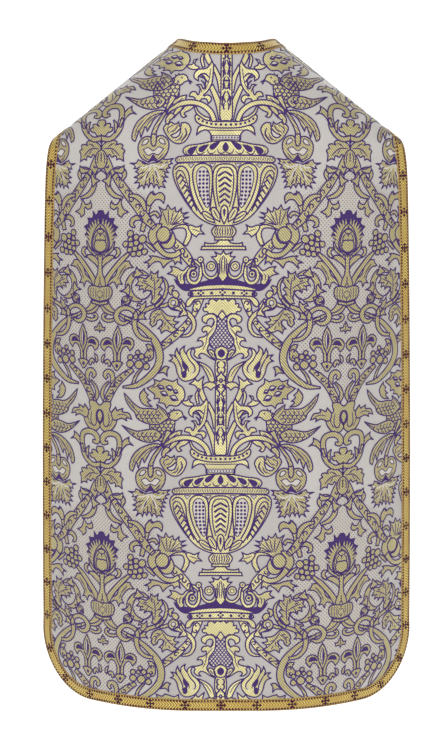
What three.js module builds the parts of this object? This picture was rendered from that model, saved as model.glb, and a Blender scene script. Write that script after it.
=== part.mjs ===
// A roman chasuble as it hangs on a wearer: a wide back panel and a narrower, fiddle-shaped front panel that
// meet in shoulder seams, with woven braid sewn round the outer edges and round the neck.
// Millimetres, +Z up. The back faces -Y and the front faces +Y. The origin lies midway between the two sides
// of the neck, level with the cloth that rests on the shoulders.
import * as THREE from "three";

const CLOTH_THICKNESS = 2;
const SEAM_GAP = 0.3;
const BRAID_WIDTH = 20;
const BRAID_THICKNESS = 1;
const BRAID_LIFT = 0.3;

// The figure's form: the radius of the turn over the shoulder, how far the cloth goes on standing out below it,
// and how steeply it wraps round the sides, all at the middle line and less towards the sides.
const BACK_FORM = { facing: -1, radius: 104, stand: 31, steepness: 0.8, reach: 290 };
const FRONT_FORM = { facing: 1, radius: 97, stand: 28, steepness: 0.7, reach: 290 };
const STAND_LENGTH = 450;
const HANG_LEAN = 10;
const HANG_LENGTH = 950;

// The shoulder line: straight slopes that would meet in a rounded peak above the open neck.
const PEAK_HEIGHT = 42;
const PEAK_HALF_WIDTH = 25;
const PEAK_SOFTNESS = 10;
const SHOULDER_FALL = 0.775;

// The shoulder seam lies ahead of the shoulder line by this part of the turn over the shoulder, in radians.
const SEAM_TURN = 0.36;

// The back panel's cut.
const BACK_HEM_HEIGHT = -1071;
const BACK_HALF_WIDTH = 311.5;
const BACK_TIP_INSET = 14;
const BACK_TIP_SOFTNESS = 20;
const BACK_FLARE = 22;
const BACK_FLARE_LENGTH = 900;
const BACK_CORNER = 110;

// The front panel's cut.
const FRONT_HEM_HEIGHT = -972;
const FRONT_CHEST_HALF_WIDTH = 222;
const FRONT_HALF_WIDTH = 262;
const FRONT_ARM_CURVE = 70;
const FRONT_FLARE_START = 300;
const FRONT_FLARE_LENGTH = 560;
const FRONT_CORNER = 105;

// Between its corners the hem dips a little towards each side, as an arc of this radius.
const HEM_RADIUS = 4500;

// The neckline: its half-width at the seam, and how far below the shoulder line it runs on each panel.
const NECK_HALF_WIDTH = 82;
const NAPE_DROP = 111;
const NAPE_ROUNDNESS = 2;
const THROAT_DROP = 232;
const THROAT_ROUNDNESS = 2.3;

// How finely each half of a panel is divided.
const NECK_STEPS = 7;
const SEAM_STEPS = 9;
const CORNER_STEPS = 7;
const HEM_STEPS = NECK_STEPS + SEAM_STEPS - CORNER_STEPS;
const ROLL_ROWS = 10;
const HANG_ROWS = 12;
const TIP_ROWS = 5;

const QUARTER_TURN = Math.PI / 2;
const PROBE = 0.05;

function ramp(t) {
  const u = Math.min(Math.max(t, 0), 1);
  return u * u * (3 - 2 * u);
}

function between(a, b, share) {
  return { x: a.x + (b.x - a.x) * share, drop: a.drop + (b.drop - a.drop) * share };
}

// How far the cloth has turned in from its middle line, at a distance x to the side.
function sweep(form, x) {
  const share = Math.min(Math.abs(x) / form.reach, 1);
  const past = Math.max(Math.abs(x) - form.reach, 0);
  return form.steepness * (form.reach * (share ** 3 - share ** 4 / 2) + past);
}

// Radius of the turn over the shoulder.
function turnRadius(form, x) {
  return form.radius - (sweep(form, x) * form.radius) / (form.radius + form.stand);
}

// The slope away from plumb with which the cloth leaves that turn.
function standSlope(form, x) {
  const stand = form.stand - (sweep(form, x) * form.stand) / (form.radius + form.stand);
  return (2 * stand) / STAND_LENGTH;
}

function turnEnd(form, x) {
  return QUARTER_TURN - Math.atan(standSlope(form, x));
}

function shoulderHeight(x) {
  const out = (Math.abs(x) - PEAK_HALF_WIDTH) / PEAK_SOFTNESS;
  return PEAK_HEIGHT - SHOULDER_FALL * PEAK_SOFTNESS * Math.log(1 + Math.exp(out));
}

// A point on the cloth's outer face: x to the side, and s down from the shoulder line, positive on the back.
function facePoint(x, s) {
  const form = s >= 0 ? BACK_FORM : FRONT_FORM;
  const down = Math.abs(s);
  const radius = turnRadius(form, x);
  const turn = Math.min(down / radius, turnEnd(form, x));
  const fall = Math.max(down - radius * turnEnd(form, x), 0);
  const standing = Math.min(fall, STAND_LENGTH);
  const stand = standSlope(form, x) * (standing - standing ** 2 / (2 * STAND_LENGTH));
  const lean = HANG_LEAN * (fall / HANG_LENGTH) ** 2;
  const y = form.facing * (radius * Math.sin(turn) + stand - lean);
  return new THREE.Vector3(x, y, shoulderHeight(x) - radius * (1 - Math.cos(turn)) - fall);
}

// The distance down from the shoulder line at which the hanging cloth reaches a height.
function dropAtHeight(form, x, height) {
  const radius = turnRadius(form, x);
  const turn = turnEnd(form, x);
  return radius * turn + shoulderHeight(x) - radius * (1 - Math.cos(turn)) - height;
}

// The directions along x and along s on the face, and the way out from it.
function faceFrame(x, s) {
  const across = facePoint(x + PROBE, s).sub(facePoint(x - PROBE, s)).divideScalar(2 * PROBE);
  const along = facePoint(x, s + PROBE).sub(facePoint(x, s - PROBE)).divideScalar(2 * PROBE);
  const out = new THREE.Vector3().crossVectors(across, along).normalize();
  return { across, along, out: out.multiplyScalar(-1) };
}

// The place a braid's width in from an edge that runs from one place to another, with the panel on its left.
function insetPlace(place, before, after) {
  const { across, along } = faceFrame(place.x, place.s);
  const dx = after.x - before.x;
  const ds = after.s - before.s;
  const edge = across.clone().multiplyScalar(dx).addScaledVector(along, ds);
  const inX = -along.dot(edge);
  const inS = across.dot(edge);
  const reach = across.clone().multiplyScalar(inX).addScaledVector(along, inS).length();
  return { x: place.x + (BRAID_WIDTH * inX) / reach, s: place.s + (BRAID_WIDTH * inS) / reach };
}

function seamDrop(x) {
  return SEAM_TURN * turnRadius(FRONT_FORM, x);
}

// Half-width of the back panel, and of the front panel, at a distance down from the shoulder line.
function backHalfWidth(drop) {
  const tip = BACK_TIP_INSET * Math.exp(-drop / BACK_TIP_SOFTNESS);
  return BACK_HALF_WIDTH - tip - BACK_FLARE * Math.max(1 - drop / BACK_FLARE_LENGTH, 0) ** 1.6;
}

const TIP_DROP = seamDrop(BACK_HALF_WIDTH - BACK_FLARE - BACK_TIP_INSET);
const TIP_HALF_WIDTH = backHalfWidth(-TIP_DROP);

function frontHalfWidth(drop) {
  const arm = (TIP_HALF_WIDTH - FRONT_CHEST_HALF_WIDTH) * Math.exp((TIP_DROP - drop) / FRONT_ARM_CURVE);
  const flare = (FRONT_HALF_WIDTH - FRONT_CHEST_HALF_WIDTH) * ramp((drop - FRONT_FLARE_START) / FRONT_FLARE_LENGTH);
  return FRONT_CHEST_HALF_WIDTH + arm + flare;
}

const BACK_CUT = {
  form: BACK_FORM,
  halfWidth: backHalfWidth,
  hemHalfWidth: BACK_HALF_WIDTH,
  hemHeight: BACK_HEM_HEIGHT,
  corner: BACK_CORNER,
  neckDrop: NAPE_DROP,
  roundness: NAPE_ROUNDNESS,
  seamLine: (x) => -seamDrop(x),
  columnSpread: 0.8,
};
const FRONT_CUT = {
  form: FRONT_FORM,
  halfWidth: frontHalfWidth,
  hemHalfWidth: FRONT_HALF_WIDTH,
  hemHeight: FRONT_HEM_HEIGHT,
  corner: FRONT_CORNER,
  neckDrop: THROAT_DROP,
  roundness: THROAT_ROUNDNESS,
  seamLine: (x) => seamDrop(x) + SEAM_GAP,
  columnSpread: 0.6,
};

// A place on the hem, where angle turns from 0 at the side edge to a quarter turn at the end of the corner.
function hemPlace(cut, x, angle) {
  const rise = cut.corner * (1 - Math.sin(angle)) - x ** 2 / (2 * HEM_RADIUS);
  return { x, drop: dropAtHeight(cut.form, x, cut.hemHeight + rise) };
}

function cornerPlace(cut, angle) {
  const slant = Math.hypot(1, cut.form.steepness);
  return hemPlace(cut, cut.hemHalfWidth - (cut.corner * (1 - Math.cos(angle))) / slant, angle);
}

// The neckline from the middle, at 0, to the shoulder seam, at 1.
function necklinePlace(cut, share) {
  const power = 2 / cut.roundness;
  const start = cut.seamLine(NECK_HALF_WIDTH);
  const x = NECK_HALF_WIDTH * Math.sin(share * QUARTER_TURN) ** power;
  return { x, drop: start + (cut.neckDrop - start) * Math.max(Math.cos(share * QUARTER_TURN), 0) ** power };
}

// The right half of a panel as a grid of places: columns from the middle to the side, each from the top down.
// The neck's and the outer edge's own places stand apart, a braid's width outside the grid.
function halfPanel(cut) {
  const signed = ({ x, drop }) => ({ x, s: -cut.form.facing * drop });
  const neck = [];
  for (let i = 0; i <= NECK_STEPS; i += 1) neck.push(necklinePlace(cut, i / NECK_STEPS));
  const cornerStart = cornerPlace(cut, 0);
  const cornerEnd = cornerPlace(cut, QUARTER_TURN);
  const sideDrops = rowDrops(cut, cut.seamLine(TIP_HALF_WIDTH), TIP_HALF_WIDTH, cornerStart.drop);
  const side = sideDrops.map((drop) => ({ x: cut.halfWidth(drop), drop }));
  side[side.length - 1] = cornerStart;
  const hem = [];
  for (let i = 0; i <= HEM_STEPS; i += 1) hem.push(hemPlace(cut, (cornerEnd.x * i) / HEM_STEPS, QUARTER_TURN));
  for (let i = CORNER_STEPS - 1; i >= 0; i -= 1) hem.push(cornerPlace(cut, (QUARTER_TURN * i) / CORNER_STEPS));

  const inward = (places, index, turned) => {
    const mirrored = { x: -places[1].x, drop: places[1].drop };
    const before = index > 0 ? places[index - 1] : mirrored;
    const after = places[index + 1] ?? places[index];
    const flip = turned * cut.form.facing < 0;
    const inset = insetPlace(signed(places[index]), signed(flip ? after : before), signed(flip ? before : after));
    return { x: inset.x, drop: -cut.form.facing * inset.s };
  };
  const neckInner = neck.map((_, i) => inward(neck, i, -1));
  const hemInner = hem.map((_, i) => inward(hem, i, 1));
  const sideInner = side.map((_, i) => (i > 0 ? inward(side, i, -1) : null));
  const onSeam = (x) => ({ x, drop: cut.seamLine(x) });
  neckInner[NECK_STEPS] = onSeam(NECK_HALF_WIDTH + BRAID_WIDTH);
  sideInner[0] = onSeam(TIP_HALF_WIDTH - BRAID_WIDTH);
  sideInner[side.length - 1] = hemInner[hem.length - 1];
  // Near the seam the braid's inner edge turns to run straight across it.
  for (let row = 1; row < TIP_ROWS; row += 1) {
    const turned = ramp(row / TIP_ROWS);
    const straight = { x: side[row].x - BRAID_WIDTH, drop: side[row].drop + sideInner[0].drop - side[0].drop };
    sideInner[row] = between(straight, sideInner[row], turned);
  }

  const last = NECK_STEPS + SEAM_STEPS;
  const columns = [];
  for (let step = 0; step < last; step += 1) {
    const onSeamLine = between(neckInner[NECK_STEPS], sideInner[0], (step - NECK_STEPS) / SEAM_STEPS);
    const start = step <= NECK_STEPS ? neckInner[step] : onSeam(onSeamLine.x);
    const end = hemInner[step];
    const topShare = start.x / sideInner[0].x;
    const middleShare = (step / last) ** cut.columnSpread;
    const endShare = end.x / hemInner[last].x;
    const drops = rowDrops(cut, start.drop, start.x, end.drop);
    columns.push(drops.map((drop, row) => {
      const rolled = 1 - Math.max(1 - row / ROLL_ROWS, 0) ** 2;
      const hung = ramp((row - ROLL_ROWS) / HANG_ROWS);
      const share = topShare + (middleShare - topShare) * rolled + (endShare - middleShare) * hung;
      return { x: share * sideInner[row].x, drop };
    }));
  }
  columns.push(sideInner);
  const signedAll = (places) => places.map(signed);
  return { columns: columns.map(signedAll), neck: signedAll(neck), side: signedAll(side), hem: signedAll(hem) };
}

// Distances down a column: close together over the shoulder, and wider apart where the cloth hangs.
function rowDrops(cut, start, x, end) {
  const radius = turnRadius(cut.form, x);
  const bend = Math.max(radius * turnEnd(cut.form, x) + 8, start + 75);
  const drops = [];
  for (let row = 0; row <= ROLL_ROWS; row += 1) drops.push(start + ((bend - start) * row) / ROLL_ROWS);
  for (let row = 1; row <= HANG_ROWS; row += 1) drops.push(bend + ((end - bend) * row) / HANG_ROWS);
  return drops;
}

// A whole panel: its grid with the border round it, and the strips of that border that carry the braid.
function panelNet(cut) {
  const half = halfPanel(cut);
  const places = [];
  const add = ({ x, s }) => places.push({ x, s }) - 1;
  const mirror = ({ x, s }) => ({ x: -x, s });
  const bothSides = (row) => [...row.slice(1).reverse().map((p) => add(mirror(p))), ...row.map(add)];
  const rows = half.columns[0].map((_, r) => bothSides(half.columns.map((column) => column[r])));
  const neck = bothSides(half.neck);
  const hem = bothSides(half.hem);
  const lastRow = rows.length - 1;
  const lastColumn = rows[0].length - 1;
  const left = half.side.slice(0, -1).map((p) => add(mirror(p)));
  const right = half.side.slice(0, -1).map(add);

  const quads = [];
  for (let r = 0; r < lastRow; r += 1) {
    for (let c = 0; c < lastColumn; c += 1) {
      quads.push([rows[r][c], rows[r + 1][c], rows[r + 1][c + 1], rows[r][c + 1]]);
    }
  }
  const neckInner = rows[0].slice(SEAM_STEPS, lastColumn + 1 - SEAM_STEPS);
  const edge = [...left, ...hem, ...right.slice().reverse()];
  const edgeInner = [
    ...rows.slice(0, lastRow).map((row) => row[0]),
    ...rows[lastRow],
    ...rows.slice(0, lastRow).map((row) => row[lastColumn]).reverse(),
  ];
  const neckStrip = stripQuads(neckInner, neck);
  const edgeStrip = stripQuads(edge, edgeInner);
  return { places, quads: [...quads, ...neckStrip, ...edgeStrip], edgeStrip, neckStrip, neck, neckInner };
}

function stripQuads(outer, inner) {
  return outer.slice(1).map((_, i) => [outer[i], outer[i + 1], inner[i + 1], inner[i]]);
}

// A closed wall over a net of places on the face, from one height above the face to another.
function wall(places, quads, low, high) {
  const used = [...new Set(quads.flat())];
  const slot = new Map(used.map((place, i) => [place, i]));
  const positions = [];
  for (const lift of [high, low]) {
    for (const i of used) {
      const { x, s } = places[i];
      positions.push(...facePoint(x, s).addScaledVector(faceFrame(x, s).out, lift).toArray());
    }
  }
  const top = quads.flatMap(([a, b, c, d]) => [[a, b, c], [a, c, d]]).map((face) => face.map((i) => slot.get(i)));
  const sides = new Map();
  for (const [a, b, c] of top) {
    for (const [from, to] of [[a, b], [b, c], [c, a]]) {
      if (!sides.delete(`${to},${from}`)) sides.set(`${from},${to}`, [from, to]);
    }
  }
  const under = used.length;
  const faces = [...top, ...top.map(([a, b, c]) => [under + a, under + c, under + b])];
  for (const [from, to] of sides.values()) faces.push([from, under + from, under + to], [from, under + to, to]);
  const outward = enclosedVolume(positions, faces) > 0;
  const geometry = new THREE.BufferGeometry();
  geometry.setAttribute("position", new THREE.Float32BufferAttribute(positions, 3));
  geometry.setIndex(faces.flatMap(([a, b, c]) => (outward ? [a, b, c] : [a, c, b])));
  geometry.computeVertexNormals();
  return geometry;
}

function enclosedVolume(positions, faces) {
  const corner = (i) => new THREE.Vector3().fromArray(positions, 3 * i);
  return faces.reduce((sum, [a, b, c]) => sum + corner(a).dot(corner(b).cross(corner(c))) / 6, 0);
}

// One strip of braid that runs all round the neck, over both panels.
function neckRing(back, front) {
  const places = [...back.places, ...front.places];
  const shift = (i) => i + back.places.length;
  const last = back.neck.length - 1;
  const seam = (end) => [back.neckInner[end], shift(front.neckInner[end]), shift(front.neck[end]), back.neck[end]];
  const [a, b, c, d] = seam(0);
  const turned = front.neckStrip.map((quad) => quad.map(shift)).map(([p, q, r, s]) => [p, s, r, q]);
  return { places, quads: [...back.neckStrip, ...turned, seam(last), [a, d, c, b]] };
}

const brocade = new THREE.MeshStandardMaterial({ color: "#b9b3a8", roughness: 0.62, metalness: 0 });
const goldBraid = new THREE.MeshStandardMaterial({ color: "#b0955a", roughness: 0.5, metalness: 0.25 });

const group = new THREE.Group();
const addPiece = (name, net, quads, low, high, material) => {
  const mesh = new THREE.Mesh(wall(net.places, quads, low, high), material);
  mesh.name = name;
  group.add(mesh);
};

const back = panelNet(BACK_CUT);
const front = panelNet(FRONT_CUT);
const ring = neckRing(back, front);
const braidTop = BRAID_LIFT + BRAID_THICKNESS;

addPiece("back_panel", back, back.quads, -CLOTH_THICKNESS, 0, brocade);
addPiece("front_panel", front, front.quads, -CLOTH_THICKNESS, 0, brocade);
addPiece("back_edge_braid", back, back.edgeStrip, BRAID_LIFT, braidTop, goldBraid);
addPiece("front_edge_braid", front, front.edgeStrip, BRAID_LIFT, braidTop, goldBraid);
addPiece("neck_braid", ring, ring.quads, BRAID_LIFT, braidTop, goldBraid);

export default group;
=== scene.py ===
# A roman chasuble: two brocade panels, the figure woven in them, and the braid sewn round their edges.
# Lengths are in millimetres until a mesh is made, and +Z is up. The back faces -Y.
import math

import bpy
import numpy as np
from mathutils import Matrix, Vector
from mathutils.geometry import delaunay_2d_cdt


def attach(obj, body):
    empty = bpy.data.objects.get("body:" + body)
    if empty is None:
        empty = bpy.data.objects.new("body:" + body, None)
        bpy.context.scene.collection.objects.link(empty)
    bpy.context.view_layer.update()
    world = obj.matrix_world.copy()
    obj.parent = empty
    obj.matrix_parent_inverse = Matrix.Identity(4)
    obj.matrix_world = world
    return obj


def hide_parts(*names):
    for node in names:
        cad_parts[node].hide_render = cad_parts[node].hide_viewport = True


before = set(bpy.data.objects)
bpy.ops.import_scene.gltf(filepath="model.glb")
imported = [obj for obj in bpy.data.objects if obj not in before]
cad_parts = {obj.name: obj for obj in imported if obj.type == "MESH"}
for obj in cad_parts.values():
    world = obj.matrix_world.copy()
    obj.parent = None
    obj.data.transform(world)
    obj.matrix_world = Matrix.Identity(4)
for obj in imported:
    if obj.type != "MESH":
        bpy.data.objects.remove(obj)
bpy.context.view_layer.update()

MM_PER_METRE = 1000.0
CLOTH_THICKNESS = 2.0
SEAM_GAP = 0.3
BRAID_WIDTH = 20.0

# The form that the cloth hangs on, and its shoulder line.
FORM_REACH = 290.0
STAND_LENGTH = 450.0
HANG_LEAN = 10.0
HANG_LENGTH = 950.0
PEAK_HEIGHT = 42.0
PEAK_HALF_WIDTH = 25.0
PEAK_SOFTNESS = 10.0
SHOULDER_FALL = 0.775
SEAM_TURN = 0.36

# The cuts of the two panels.
BACK_HALF_WIDTH = 311.5
BACK_TIP_INSET = 14.0
BACK_TIP_SOFTNESS = 20.0
BACK_FLARE = 22.0
BACK_FLARE_LENGTH = 900.0
BACK_FLARE_POWER = 1.6
FRONT_CHEST_HALF_WIDTH = 222.0
FRONT_HALF_WIDTH = 262.0
FRONT_ARM_CURVE = 70.0
FRONT_FLARE_START = 300.0
FRONT_FLARE_LENGTH = 560.0
HEM_RADIUS = 4500.0
NECK_HALF_WIDTH = 82.0

# How finely each half of a panel is divided.
NECK_STEPS = 28
SEAM_STEPS = 30
CORNER_STEPS = 28
HEM_STEPS = NECK_STEPS + SEAM_STEPS - CORNER_STEPS
ROLL_ROWS = 26
HANG_ROWS = 50
TIP_ROWS = 12
BEND_MARGIN = 8.0
LEAST_ROLL = 75.0
QUARTER_TURN = math.pi / 2
PROBE = 0.05


class Form:
    """The curved form that a panel hangs on."""

    def __init__(self, facing, radius, stand, steepness):
        self.facing = facing
        self.radius = radius
        self.stand = stand
        self.steepness = steepness

    def sweep(self, x):
        share = np.minimum(np.abs(x) / FORM_REACH, 1.0)
        past = np.maximum(np.abs(x) - FORM_REACH, 0.0)
        return self.steepness * (FORM_REACH * (share**3 - share**4 / 2) + past)

    def turn_radius(self, x):
        return self.radius - self.sweep(x) * self.radius / (self.radius + self.stand)

    def stand_slope(self, x):
        stand = self.stand - self.sweep(x) * self.stand / (self.radius + self.stand)
        return 2 * stand / STAND_LENGTH

    def turn_end(self, x):
        return QUARTER_TURN - np.arctan(self.stand_slope(x))

    def face(self, x, drop):
        """Points on the outer face, from places across it and lengths down from the shoulder line."""
        x = np.asarray(x, dtype=float)
        drop = np.asarray(drop, dtype=float)
        radius = self.turn_radius(x)
        turn_end = self.turn_end(x)
        turn = np.minimum(np.abs(drop) / radius, turn_end)
        fall = np.maximum(np.abs(drop) - radius * turn_end, 0.0)
        standing = np.minimum(fall, STAND_LENGTH)
        stand = self.stand_slope(x) * (standing - standing**2 / (2 * STAND_LENGTH))
        lean = HANG_LEAN * (fall / HANG_LENGTH) ** 2
        y = self.facing * (radius * np.sin(turn) + stand - lean)
        z = shoulder_height(x) - radius * (1 - np.cos(turn)) - fall
        return np.stack([x, y, z], axis=-1)

    def drop_at_height(self, x, height):
        radius = self.turn_radius(x)
        turn = self.turn_end(x)
        return radius * turn + shoulder_height(x) - radius * (1 - np.cos(turn)) - height


BACK_FORM = Form(facing=-1, radius=104.0, stand=31.0, steepness=0.8)
FRONT_FORM = Form(facing=1, radius=97.0, stand=28.0, steepness=0.7)


def shoulder_height(x):
    out = (np.abs(x) - PEAK_HALF_WIDTH) / PEAK_SOFTNESS
    return PEAK_HEIGHT - SHOULDER_FALL * PEAK_SOFTNESS * np.log1p(np.exp(out))


def face_point(x, s):
    """Points on the outer face, where s is positive on the back and negative on the front."""
    x, s = np.broadcast_arrays(np.asarray(x, dtype=float), np.asarray(s, dtype=float))
    back = BACK_FORM.face(x, s)
    front = FRONT_FORM.face(x, s)
    return np.where((s >= 0)[..., None], back, front)


def face_out(x, s):
    """The direction straight out of the face."""
    across = face_point(x + PROBE, s) - face_point(x - PROBE, s)
    along = face_point(x, s + PROBE) - face_point(x, s - PROBE)
    out = -np.cross(across, along)
    return out / np.linalg.norm(out, axis=-1, keepdims=True)


def face_slopes(x, s):
    across = (face_point(x + PROBE, s) - face_point(x - PROBE, s)) / (2 * PROBE)
    along = (face_point(x, s + PROBE) - face_point(x, s - PROBE)) / (2 * PROBE)
    return across, along


def lifted(x, s, lift):
    return face_point(x, s) + face_out(x, s) * np.asarray(lift)[..., None]


def ramp(t):
    u = np.clip(t, 0.0, 1.0)
    return u * u * (3 - 2 * u)


def seam_drop(x):
    return SEAM_TURN * FRONT_FORM.turn_radius(x)


def back_half_width(drop):
    tip = BACK_TIP_INSET * np.exp(-drop / BACK_TIP_SOFTNESS)
    flare = BACK_FLARE * np.maximum(1 - drop / BACK_FLARE_LENGTH, 0) ** BACK_FLARE_POWER
    return BACK_HALF_WIDTH - tip - flare


TIP_DROP = float(seam_drop(BACK_HALF_WIDTH - BACK_FLARE - BACK_TIP_INSET))
TIP_HALF_WIDTH = float(back_half_width(-TIP_DROP))


def front_half_width(drop):
    arm = (TIP_HALF_WIDTH - FRONT_CHEST_HALF_WIDTH) * np.exp((TIP_DROP - drop) / FRONT_ARM_CURVE)
    flare = (FRONT_HALF_WIDTH - FRONT_CHEST_HALF_WIDTH) * ramp(
        (drop - FRONT_FLARE_START) / FRONT_FLARE_LENGTH,
    )
    return FRONT_CHEST_HALF_WIDTH + arm + flare


class Cut:
    """How a panel is cut: its width, hem, corners, neckline and shoulder seam."""

    def __init__(
        self, form, half_width, hem_half_width, hem_height, corner, neck_drop, roundness, seam, spread,
    ):
        self.form = form
        self.half_width = half_width
        self.hem_half_width = hem_half_width
        self.hem_height = hem_height
        self.corner = corner
        self.neck_drop = neck_drop
        self.roundness = roundness
        self.seam = seam
        self.spread = spread

    def hem_place(self, x, angle):
        rise = self.corner * (1 - math.sin(angle)) - x**2 / (2 * HEM_RADIUS)
        return (x, float(self.form.drop_at_height(x, self.hem_height + rise)))

    def corner_place(self, angle):
        slant = math.hypot(1, self.form.steepness)
        return self.hem_place(self.hem_half_width - self.corner * (1 - math.cos(angle)) / slant, angle)

    def neckline_place(self, share):
        power = 2 / self.roundness
        start = self.seam(NECK_HALF_WIDTH)
        x = NECK_HALF_WIDTH * math.sin(share * QUARTER_TURN) ** power
        return (x, start + (self.neck_drop - start) * max(math.cos(share * QUARTER_TURN), 0.0) ** power)

    def row_drops(self, start, x, end):
        radius = float(self.form.turn_radius(x))
        bend = max(radius * float(self.form.turn_end(x)) + BEND_MARGIN, start + LEAST_ROLL)
        rolled = [start + (bend - start) * row / ROLL_ROWS for row in range(ROLL_ROWS + 1)]
        hung = [bend + (end - bend) * row / HANG_ROWS for row in range(1, HANG_ROWS + 1)]
        return rolled + hung


BACK_CUT = Cut(
    form=BACK_FORM,
    half_width=back_half_width,
    hem_half_width=BACK_HALF_WIDTH,
    hem_height=-1071.0,
    corner=110.0,
    neck_drop=111.0,
    roundness=2.0,
    seam=lambda x: -float(seam_drop(x)),
    spread=0.8,
)
FRONT_CUT = Cut(
    form=FRONT_FORM,
    half_width=front_half_width,
    hem_half_width=FRONT_HALF_WIDTH,
    hem_height=-972.0,
    corner=105.0,
    neck_drop=232.0,
    roundness=2.3,
    seam=lambda x: float(seam_drop(x)) + SEAM_GAP,
    spread=0.6,
)


def between(a, b, share):
    return (a[0] + (b[0] - a[0]) * share, a[1] + (b[1] - a[1]) * share)


def inset_place(place, before, after):
    """The place a braid's width in from an edge, with the panel on the edge's left."""
    across, along = face_slopes(place[0], place[1])
    edge = across * (after[0] - before[0]) + along * (after[1] - before[1])
    in_x = -float(np.dot(along, edge))
    in_s = float(np.dot(across, edge))
    reach = float(np.linalg.norm(across * in_x + along * in_s))
    return (place[0] + BRAID_WIDTH * in_x / reach, place[1] + BRAID_WIDTH * in_s / reach)


def half_panel(cut):
    """The right half of a panel: columns from the middle to the side, and the places of its edges."""
    facing = cut.form.facing

    def signed(place):
        return (place[0], -facing * place[1])

    neck = [cut.neckline_place(i / NECK_STEPS) for i in range(NECK_STEPS + 1)]
    corner_start = cut.corner_place(0.0)
    corner_end = cut.corner_place(QUARTER_TURN)
    side_drops = cut.row_drops(cut.seam(TIP_HALF_WIDTH), TIP_HALF_WIDTH, corner_start[1])
    side = [(float(cut.half_width(drop)), drop) for drop in side_drops]
    side[-1] = corner_start
    hem = [cut.hem_place(corner_end[0] * i / HEM_STEPS, QUARTER_TURN) for i in range(HEM_STEPS + 1)]
    hem += [cut.corner_place(QUARTER_TURN * i / CORNER_STEPS) for i in range(CORNER_STEPS - 1, -1, -1)]

    def inward(places, index, turned):
        before = places[index - 1] if index > 0 else (-places[1][0], places[1][1])
        after = places[index + 1] if index + 1 < len(places) else places[index]
        if turned * facing < 0:
            before, after = after, before
        x, s = inset_place(signed(places[index]), signed(before), signed(after))
        return (x, -facing * s)

    neck_inner = [inward(neck, i, -1) for i in range(len(neck))]
    hem_inner = [inward(hem, i, 1) for i in range(len(hem))]
    side_inner = [inward(side, i, -1) for i in range(1, len(side))]
    seam_end = (TIP_HALF_WIDTH - BRAID_WIDTH, cut.seam(TIP_HALF_WIDTH - BRAID_WIDTH))
    side_inner = [seam_end] + side_inner
    neck_inner[-1] = (NECK_HALF_WIDTH + BRAID_WIDTH, cut.seam(NECK_HALF_WIDTH + BRAID_WIDTH))
    side_inner[-1] = hem_inner[-1]
    # Near the seam the braid's inner edge turns to run straight across it.
    for row in range(1, TIP_ROWS):
        straight = (side[row][0] - BRAID_WIDTH, side[row][1] + side_inner[0][1] - side[0][1])
        side_inner[row] = between(straight, side_inner[row], float(ramp(row / TIP_ROWS)))

    last = NECK_STEPS + SEAM_STEPS
    columns = []
    for step in range(last):
        if step <= NECK_STEPS:
            start = neck_inner[step]
        else:
            x = between(neck_inner[-1], side_inner[0], (step - NECK_STEPS) / SEAM_STEPS)[0]
            start = (x, cut.seam(x))
        end = hem_inner[step]
        top_share = start[0] / side_inner[0][0]
        middle_share = (step / last) ** cut.spread
        end_share = end[0] / hem_inner[last][0]
        column = []
        for row, drop in enumerate(cut.row_drops(start[1], start[0], end[1])):
            rolled = 1 - max(1 - row / ROLL_ROWS, 0) ** 2
            hung = float(ramp((row - ROLL_ROWS) / HANG_ROWS))
            share = top_share + (middle_share - top_share) * rolled + (end_share - middle_share) * hung
            column.append((share * side_inner[row][0], drop))
        columns.append(column)
    columns.append(side_inner)
    return {
        "columns": [[signed(p) for p in column] for column in columns],
        "neck": [signed(p) for p in neck],
        "side": [signed(p) for p in side],
        "hem": [signed(p) for p in hem],
    }


def strip_quads(outer, inner):
    return [(outer[i], outer[i + 1], inner[i + 1], inner[i]) for i in range(len(outer) - 1)]


def panel_net(cut):
    """A whole panel as places and quads, with the border strips that carry the braid."""
    half = half_panel(cut)
    places = []

    def add(place):
        places.append(place)
        return len(places) - 1

    def mirror(place):
        return (-place[0], place[1])

    def both_sides(row):
        return [add(mirror(p)) for p in reversed(row[1:])] + [add(p) for p in row]

    row_count = len(half["columns"][0])
    rows = [both_sides([column[r] for column in half["columns"]]) for r in range(row_count)]
    neck = both_sides(half["neck"])
    hem = both_sides(half["hem"])
    last_column = len(rows[0]) - 1
    left = [add(mirror(p)) for p in half["side"][:-1]]
    right = [add(p) for p in half["side"][:-1]]
    quads = []
    for r in range(row_count - 1):
        for c in range(last_column):
            quads.append((rows[r][c], rows[r + 1][c], rows[r + 1][c + 1], rows[r][c + 1]))
    neck_inner = rows[0][SEAM_STEPS : last_column + 1 - SEAM_STEPS]
    edge = left + hem + right[::-1]
    edge_inner = [row[0] for row in rows[:-1]] + rows[-1] + [row[-1] for row in rows[:-1]][::-1]
    quads += strip_quads(neck_inner, neck)
    quads += strip_quads(edge, edge_inner)
    return {
        "places": np.array(places),
        "quads": quads,
        "edge": edge,
        "edge_inner": edge_inner,
        "neck": neck,
        "neck_inner": neck_inner,
    }


# Lengths across the cloth, measured where it hangs.
ARC_DROP = 620.0
ARC_X = np.linspace(0.0, 400.0, 801)
ARC_POINTS = face_point(ARC_X, np.full_like(ARC_X, ARC_DROP))[:, :2]
ARC_LENGTH = np.concatenate([[0.0], np.cumsum(np.linalg.norm(np.diff(ARC_POINTS, axis=0), axis=1))])


def arc_of(x):
    return np.sign(x) * np.interp(np.abs(x), ARC_X, ARC_LENGTH)


def x_of_arc(u):
    return np.sign(u) * np.interp(np.abs(u), ARC_LENGTH, ARC_X)


def woven_row(form, x, drop):
    """The level of a place in the weave: its depth below the origin where the cloth hangs."""
    radius = form.turn_radius(x)
    turn = form.turn_end(x)
    return drop - radius * turn + radius * (1 - np.cos(turn)) - shoulder_height(x)


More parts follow.
